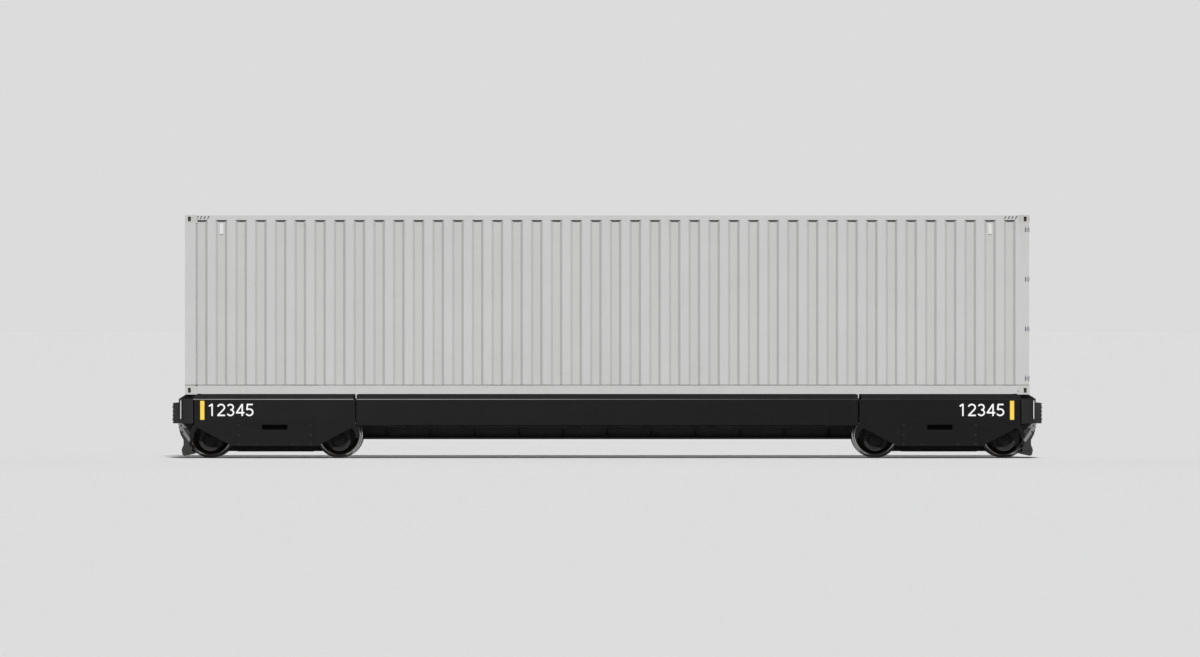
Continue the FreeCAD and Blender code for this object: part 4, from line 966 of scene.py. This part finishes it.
def bumper():
    """A section carried across the car, narrower at its face.  Its grooves lie where a cosine over
    the height is near its top; its face falls back at the foot and the top, and at both ends."""
    level = np.linspace(BUMPER_FOOT, BUMPER_TOP, 41)
    wave = np.cos((level - 0.650) / (BUMPER_TOP - BUMPER_FOOT) * 2 * np.pi * GROOVES)
    grooves = 0.010 * np.clip(wave * 2.2 - 1.0, 0, 1)
    face = BUMPER_FACE - grooves - 0.012 * np.clip((np.abs(level - 0.65) - 0.136) / 0.012, 0, 1) ** 2
    shares = np.array([-1.0, -0.985, -0.95, -0.5, 0.0, 0.5, 0.95, 0.985, 1.0])
    rounded = np.array([0.030, 0.008, 0.0, 0.0, 0.0, 0.0, 0.0, 0.008, 0.030])
    rings = []
    for share, back in zip(shares, rounded):
        front = np.column_stack([face - back, np.full(len(level), share * 0.872), level])
        base = [(BUMPER_BACK, share * 0.928, height) for height in (BUMPER_TOP, BUMPER_FOOT)]
        rings.append(np.concatenate([front, base]))
    return skin(rings)


rear = bumper()
for end, pad in (("rear", rear), ("front", flipped(rear, "x"))):
    made = piece(f"{end}_bumper_pad", [pad], "car", "bumper_rubber", 40)
    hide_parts(f"{end}_bumper")
cups = [(6.2835, across, level) for across in (-0.72, -0.24, 0.24, 0.72) for level in (0.5615, 0.7385)]
cup = turned([(0.024, -0.004), (0.024, 0.004), (0.020, 0.006), (0.017, 0.0035), (0.004, 0.0035)], 20)
cup = aimed(cup, (0, 1, 0), (0, 0, 1))
piece("bumper_bolts", [both(copies(cup, cups), "x")], "car", "galvanised")

# %% Corner lamps
SLANT_START, SLANT_END = (5.975, SIDE), (6.190, 1.0)    # the cut corner, as (along, half width)


def lamp():
    """A lens with a rounded front: its outline is eased, then raised; the frame is a rim round it.
    Both lie on the slanting face of the near rear corner, which runs from one end to the other."""
    run, fall = SLANT_END[0] - SLANT_START[0], SLANT_START[1] - SLANT_END[1]
    middle = (6.156, -(SIDE - (6.156 - SLANT_START[0]) * fall / run), 0.7005)
    lens = solid(rectangle(0.019, 0.268, 0.008, 5), 0.002, 0.0085, 0.003)
    outer, inner = rectangle(0.040, 0.288, 0.012, 4), rectangle(0.021, 0.272, 0.008, 4)
    levels = ((outer, 0.0), (outer, 0.005), (outer * 0.97, 0.0065), (inner, 0.0065), (inner, 0.0))
    return [all_corners(aimed(shape, (run, fall, 0), (0, 0, 1), middle))
            for shape in (lens, rimmed(levels))]


lens, rim = lamp()
made = piece("lamp_lenses", [lens], "car", "lamp_lens")
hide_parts("light_bars")
piece("lamp_frames", [rim], "car", "chassis_paint")

# %% Pilots: bolt heads along the blade's hangers and across the stays
head = aimed(bolt(0.011, 0.010), (1, 0, 0), (0, 0, 1))
hanger = [(5.985, -1.096, 0.085), (6.045, -1.096, 0.105), (6.10, -1.096, 0.150)]
stay = [(6.100, -1.112, 0.470), (6.155, -1.112, 0.470), (6.135, -1.112, 0.380)]
piece("pilot_bolts", [all_corners(copies(head, hanger + stay))], "car", "chassis_paint")

# %% [markdown]
# ## The container's small parts
# The box is all folds and welds.  The parts below are the ones that a person who loads it would
# name: the sockets in the castings, the height marks beside them, the sealant down the posts, the
# rubber round the doors, the pressed panels and blank plates on them, and the plates that guard the
# roof from the crane.

# %% Painted shade inside the sockets: dark blocks in the castings' holes; and the height marks
CASTING = (6.007, -1.138)       # the middle of the castings at the near rear corner
RAIL_FACE, MARK_LEVEL = 1.2152, 3.4755

shade_block = solid(rectangle(0.122, 0.106, 0.012), -0.032, 0.032, 0.008)
shade_blocks = all_corners(copies(shade_block, [(*CASTING, level) for level in (0.979, 3.452)]))
piece("socket_shade_linings", [shade_blocks], "car", "socket_shade")

mark = solid([(-0.018, -0.021), (-0.003, -0.021), (0.018, 0.021), (0.003, 0.021)], 0.0, 0.0006)
mark = aimed(mark, (1, 0, 0), (0, 0, 1))
places = [(start + 0.052 * n, -RAIL_FACE, MARK_LEVEL) for start in (-5.915, 5.745) for n in range(4)]
piece("height_marks", sides(copies(mark, places)), "car", "marking_black")

# %% Sealant: a dark half-round bead down each front post and along each wall's foot, also painted shade in those corners
def bead(start, end, radius):
    """A low tube from start to end on the near wall, stretched flat: half its width shows.  At share
    s of its length its radius is r (1 + 0.12 sin 61 s + 0.08 sin 97 s), the wobble of a hand."""
    start, end, out = np.array(start), np.array(end), np.array([0.0, -1.0, 0.0])
    steps = np.linspace(0, 1, 40)[:, None]
    line = start + (end - start) * steps
    wobble = radius * (1 + 0.12 * np.sin(steps * 61.0) + 0.08 * np.sin(steps * 97.0))
    ring = circle(1.0, 8)
    across = np.cross(end - start, out)
    across /= np.linalg.norm(across)
    flat = ring[None, :, :1] * across + 0.6 * ring[None, :, 1:] * out
    return skin(line[:, None] + wobble[:, None] * flat)


post = bead((-5.938, -1.2125, 1.060), (-5.938, -1.2125, 3.438), 0.0062)
foot = bead((-5.93, -1.2145, 1.0585), (5.89, -1.2145, 1.0585), 0.0042)
for name, line in (("post_sealant", post), ("foot_sealant", foot)):
    piece(name, [both(line, "y")], "car", "sealant_and_shade", 60)

# %% [markdown]
# ### Doors
# Each leaf has a black rubber gasket round its edge, pressed panels between its lock rods, cam
# heads at the rods' ends, and riveted plates.  The plates are blank.  All of it rides on its own
# leaf, so it swings with it.

# %% Door gaskets, panels, cams and plates
LEAF_SIDE, LEAF_LEVEL, LEAF_FACE = (0.008, 1.134), (1.078, 3.372), 6.040
PANEL_LEVELS = (1.28, 2.15, 2.52, 2.89, 3.21)


def frame_of(width, height, thick, lift):
    """A rim of two rectangles, the inner one smaller by thick all round, with slanting edges."""
    outer = rectangle(width, height, 0.004)
    inner = rectangle(width - 2 * thick, height - 2 * thick, 0.004)
    return rimmed(((outer, 0.0), (outer, lift * 0.6), (outer * 0.998, lift), (inner * 1.004, lift),
                   (inner, lift * 0.6), (inner, 0.0)))


def on_leaf(shape, across, level, lift=0.0):
    """Stands a shape on the right leaf's outer face, its z pointing to the rear."""
    return aimed(shape, (0, 1, 0), (0, 0, 1), (LEAF_FACE + lift, across, level))


def leaf_parts():
    """The right leaf's small parts: a name, a shape, a finish and a slot for each."""
    wide, tall = np.diff(LEAF_SIDE)[0], np.diff(LEAF_LEVEL)[0]
    middle = (np.mean(LEAF_SIDE), np.mean(LEAF_LEVEL))
    gasket = on_leaf(frame_of(wide - 0.002, tall - 0.002, 0.016, 0.0045), *middle)
    panel = solid(rectangle(0.40, 0.30, 0.03, 4), 0.0, 0.004, 0.0035)
    panels = gather([on_leaf(panel, 0.57, level) for level in PANEL_LEVELS])
    cam = solid(rectangle(0.052, 0.046, 0.010), -0.012, 0.012, 0.004)
    pawl = solid(rectangle(0.026, 0.060, 0.008), -0.006, 0.014, 0.003)
    cams = gather([on_leaf(shape, across, level, -0.004) for shape in (cam, pawl)
                   for across in (0.26, 0.88) for level in (1.112, 3.338)])
    plate = on_leaf(solid(rectangle(0.30, 0.20, 0.008), 0.0, 0.002, 0.0006), 0.57, 1.565)
    rivet = cap_head(0.005, 0.0025)
    spots = [(a, b) for a in (0.432, 0.57, 0.708) for b in (1.477, 1.653)]
    rivets = gather([on_leaf(rivet, a, b, 0.002) for a, b in spots])
    return (("gasket", gasket, "seal_rubber", "bumper_rubber"),
            ("panels", panels, "container_paint", "container_paint"),
            ("cams", cams, "galvanised", "galvanised"),
            ("plate", plate, "plate_white", "galvanised"),
            ("rivets", rivets, "galvanised", "galvanised"))


for side in ("right", "left"):
    for name, shape, finish, slot in leaf_parts():
        shape = shape if side == "right" else flipped(shape, "y")
        piece(f"{side}_door_{name}", [shape], f"{side}_cargo_door", finish)

# %% Roof guards beside the castings
guard = solid(rectangle(0.30, 0.42, 0.02), 3.500, 3.5065, 0.003)
guards = all_corners(copies(guard, [(5.755, -0.985, 0.0)]))
piece("roof_guards", [guards], "car", "container_paint")

# %% [markdown]
# ## Below the deck
# Few people look here, yet a part in a library is turned over.  Under the deck run two air pipes in
# clamps, the battery packs have ribs, gussets stiffen the sill, and brake discs sit on the axles.

# %% Pipes, clamps, ribs, gussets
PIPE_LEVEL = 0.452


def air_pipe(across, radius):
    """A pipe that lies level and turns up at its ends: z = level + rise * s^2, with s growing from 0
    at 3.08 m from the middle to 1 at the end."""
    along = np.concatenate([np.linspace(-3.30, -3.08, 10), np.linspace(-2.6, 2.6, 9),
                            np.linspace(3.08, 3.30, 10)])
    rise = 0.050 * np.clip((np.abs(along) - 3.08) / 0.22, 0, 1) ** 2
    return pipe(np.column_stack([along, np.full(len(along), across), PIPE_LEVEL + rise]), radius, 12)


pipes = [air_pipe(-0.365, 0.014), air_pipe(-0.410, 0.010)]
piece("air_pipes", [both(gather(pipes), "y")], "car", "dull_zinc")
clamp = aimed(solid(rectangle(0.110, 0.040, 0.008), -0.015, 0.015, 0.003), (0, 1, 0), (0, 0, 1))
clamps = copies(clamp, [(x, -0.385, PIPE_LEVEL) for x in np.linspace(-2.9, 2.9, 8)])
piece("pipe_clamps", [both(clamps, "y")], "car", "chassis_paint")

rib = aimed(solid(rectangle(0.022, 0.76, 0.006), 0.0, 0.010, 0.004), (1, 0, 0), (0, -1, 0))
ribs = copies(rib, [(x, -0.80, 0.500) for x in np.linspace(-2.88, 2.88, 37)])
piece("battery_ribs", [both(ribs, "y")], "car", "chassis_paint")

gusset = solid([(0.0, 0.0), (0.084, 0.0), (0.084, 0.014), (0.014, 0.118), (0.0, 0.118)], -0.005, 0.005)
gusset = aimed(gusset, (0, -1, 0), (0, 0, 1))
gussets = copies(gusset, [(x, -0.330, 0.301) for x in np.linspace(-3.2, 3.2, 11)])
piece("sill_gussets", [both(gussets, "y")], "car", "chassis_paint")

# %% Brake discs
def brake_disc(end, place):
    """A disc with a hub, its section eased and turned about the axle."""
    section = eased([(0.0805, -0.034), (0.125, -0.034), (0.125, -0.018), (0.205, -0.018),
                     (0.205, 0.018), (0.125, 0.018), (0.125, 0.034), (0.0805, 0.034)], 0.003, 3)
    disc = aimed(turned(section, 56, loop=True), (1, 0, 0), (0, 0, 1),
                 (axle_at(end, place), -0.36, AXLE_HEIGHT))
    piece(f"{end}_{place}_brake_discs", [both(disc, "y")], f"{end}_{place}_wheelset", "axle_steel",
          40)


for end in BOGIES:
    for place in AXLES:
        brake_disc(end, place)
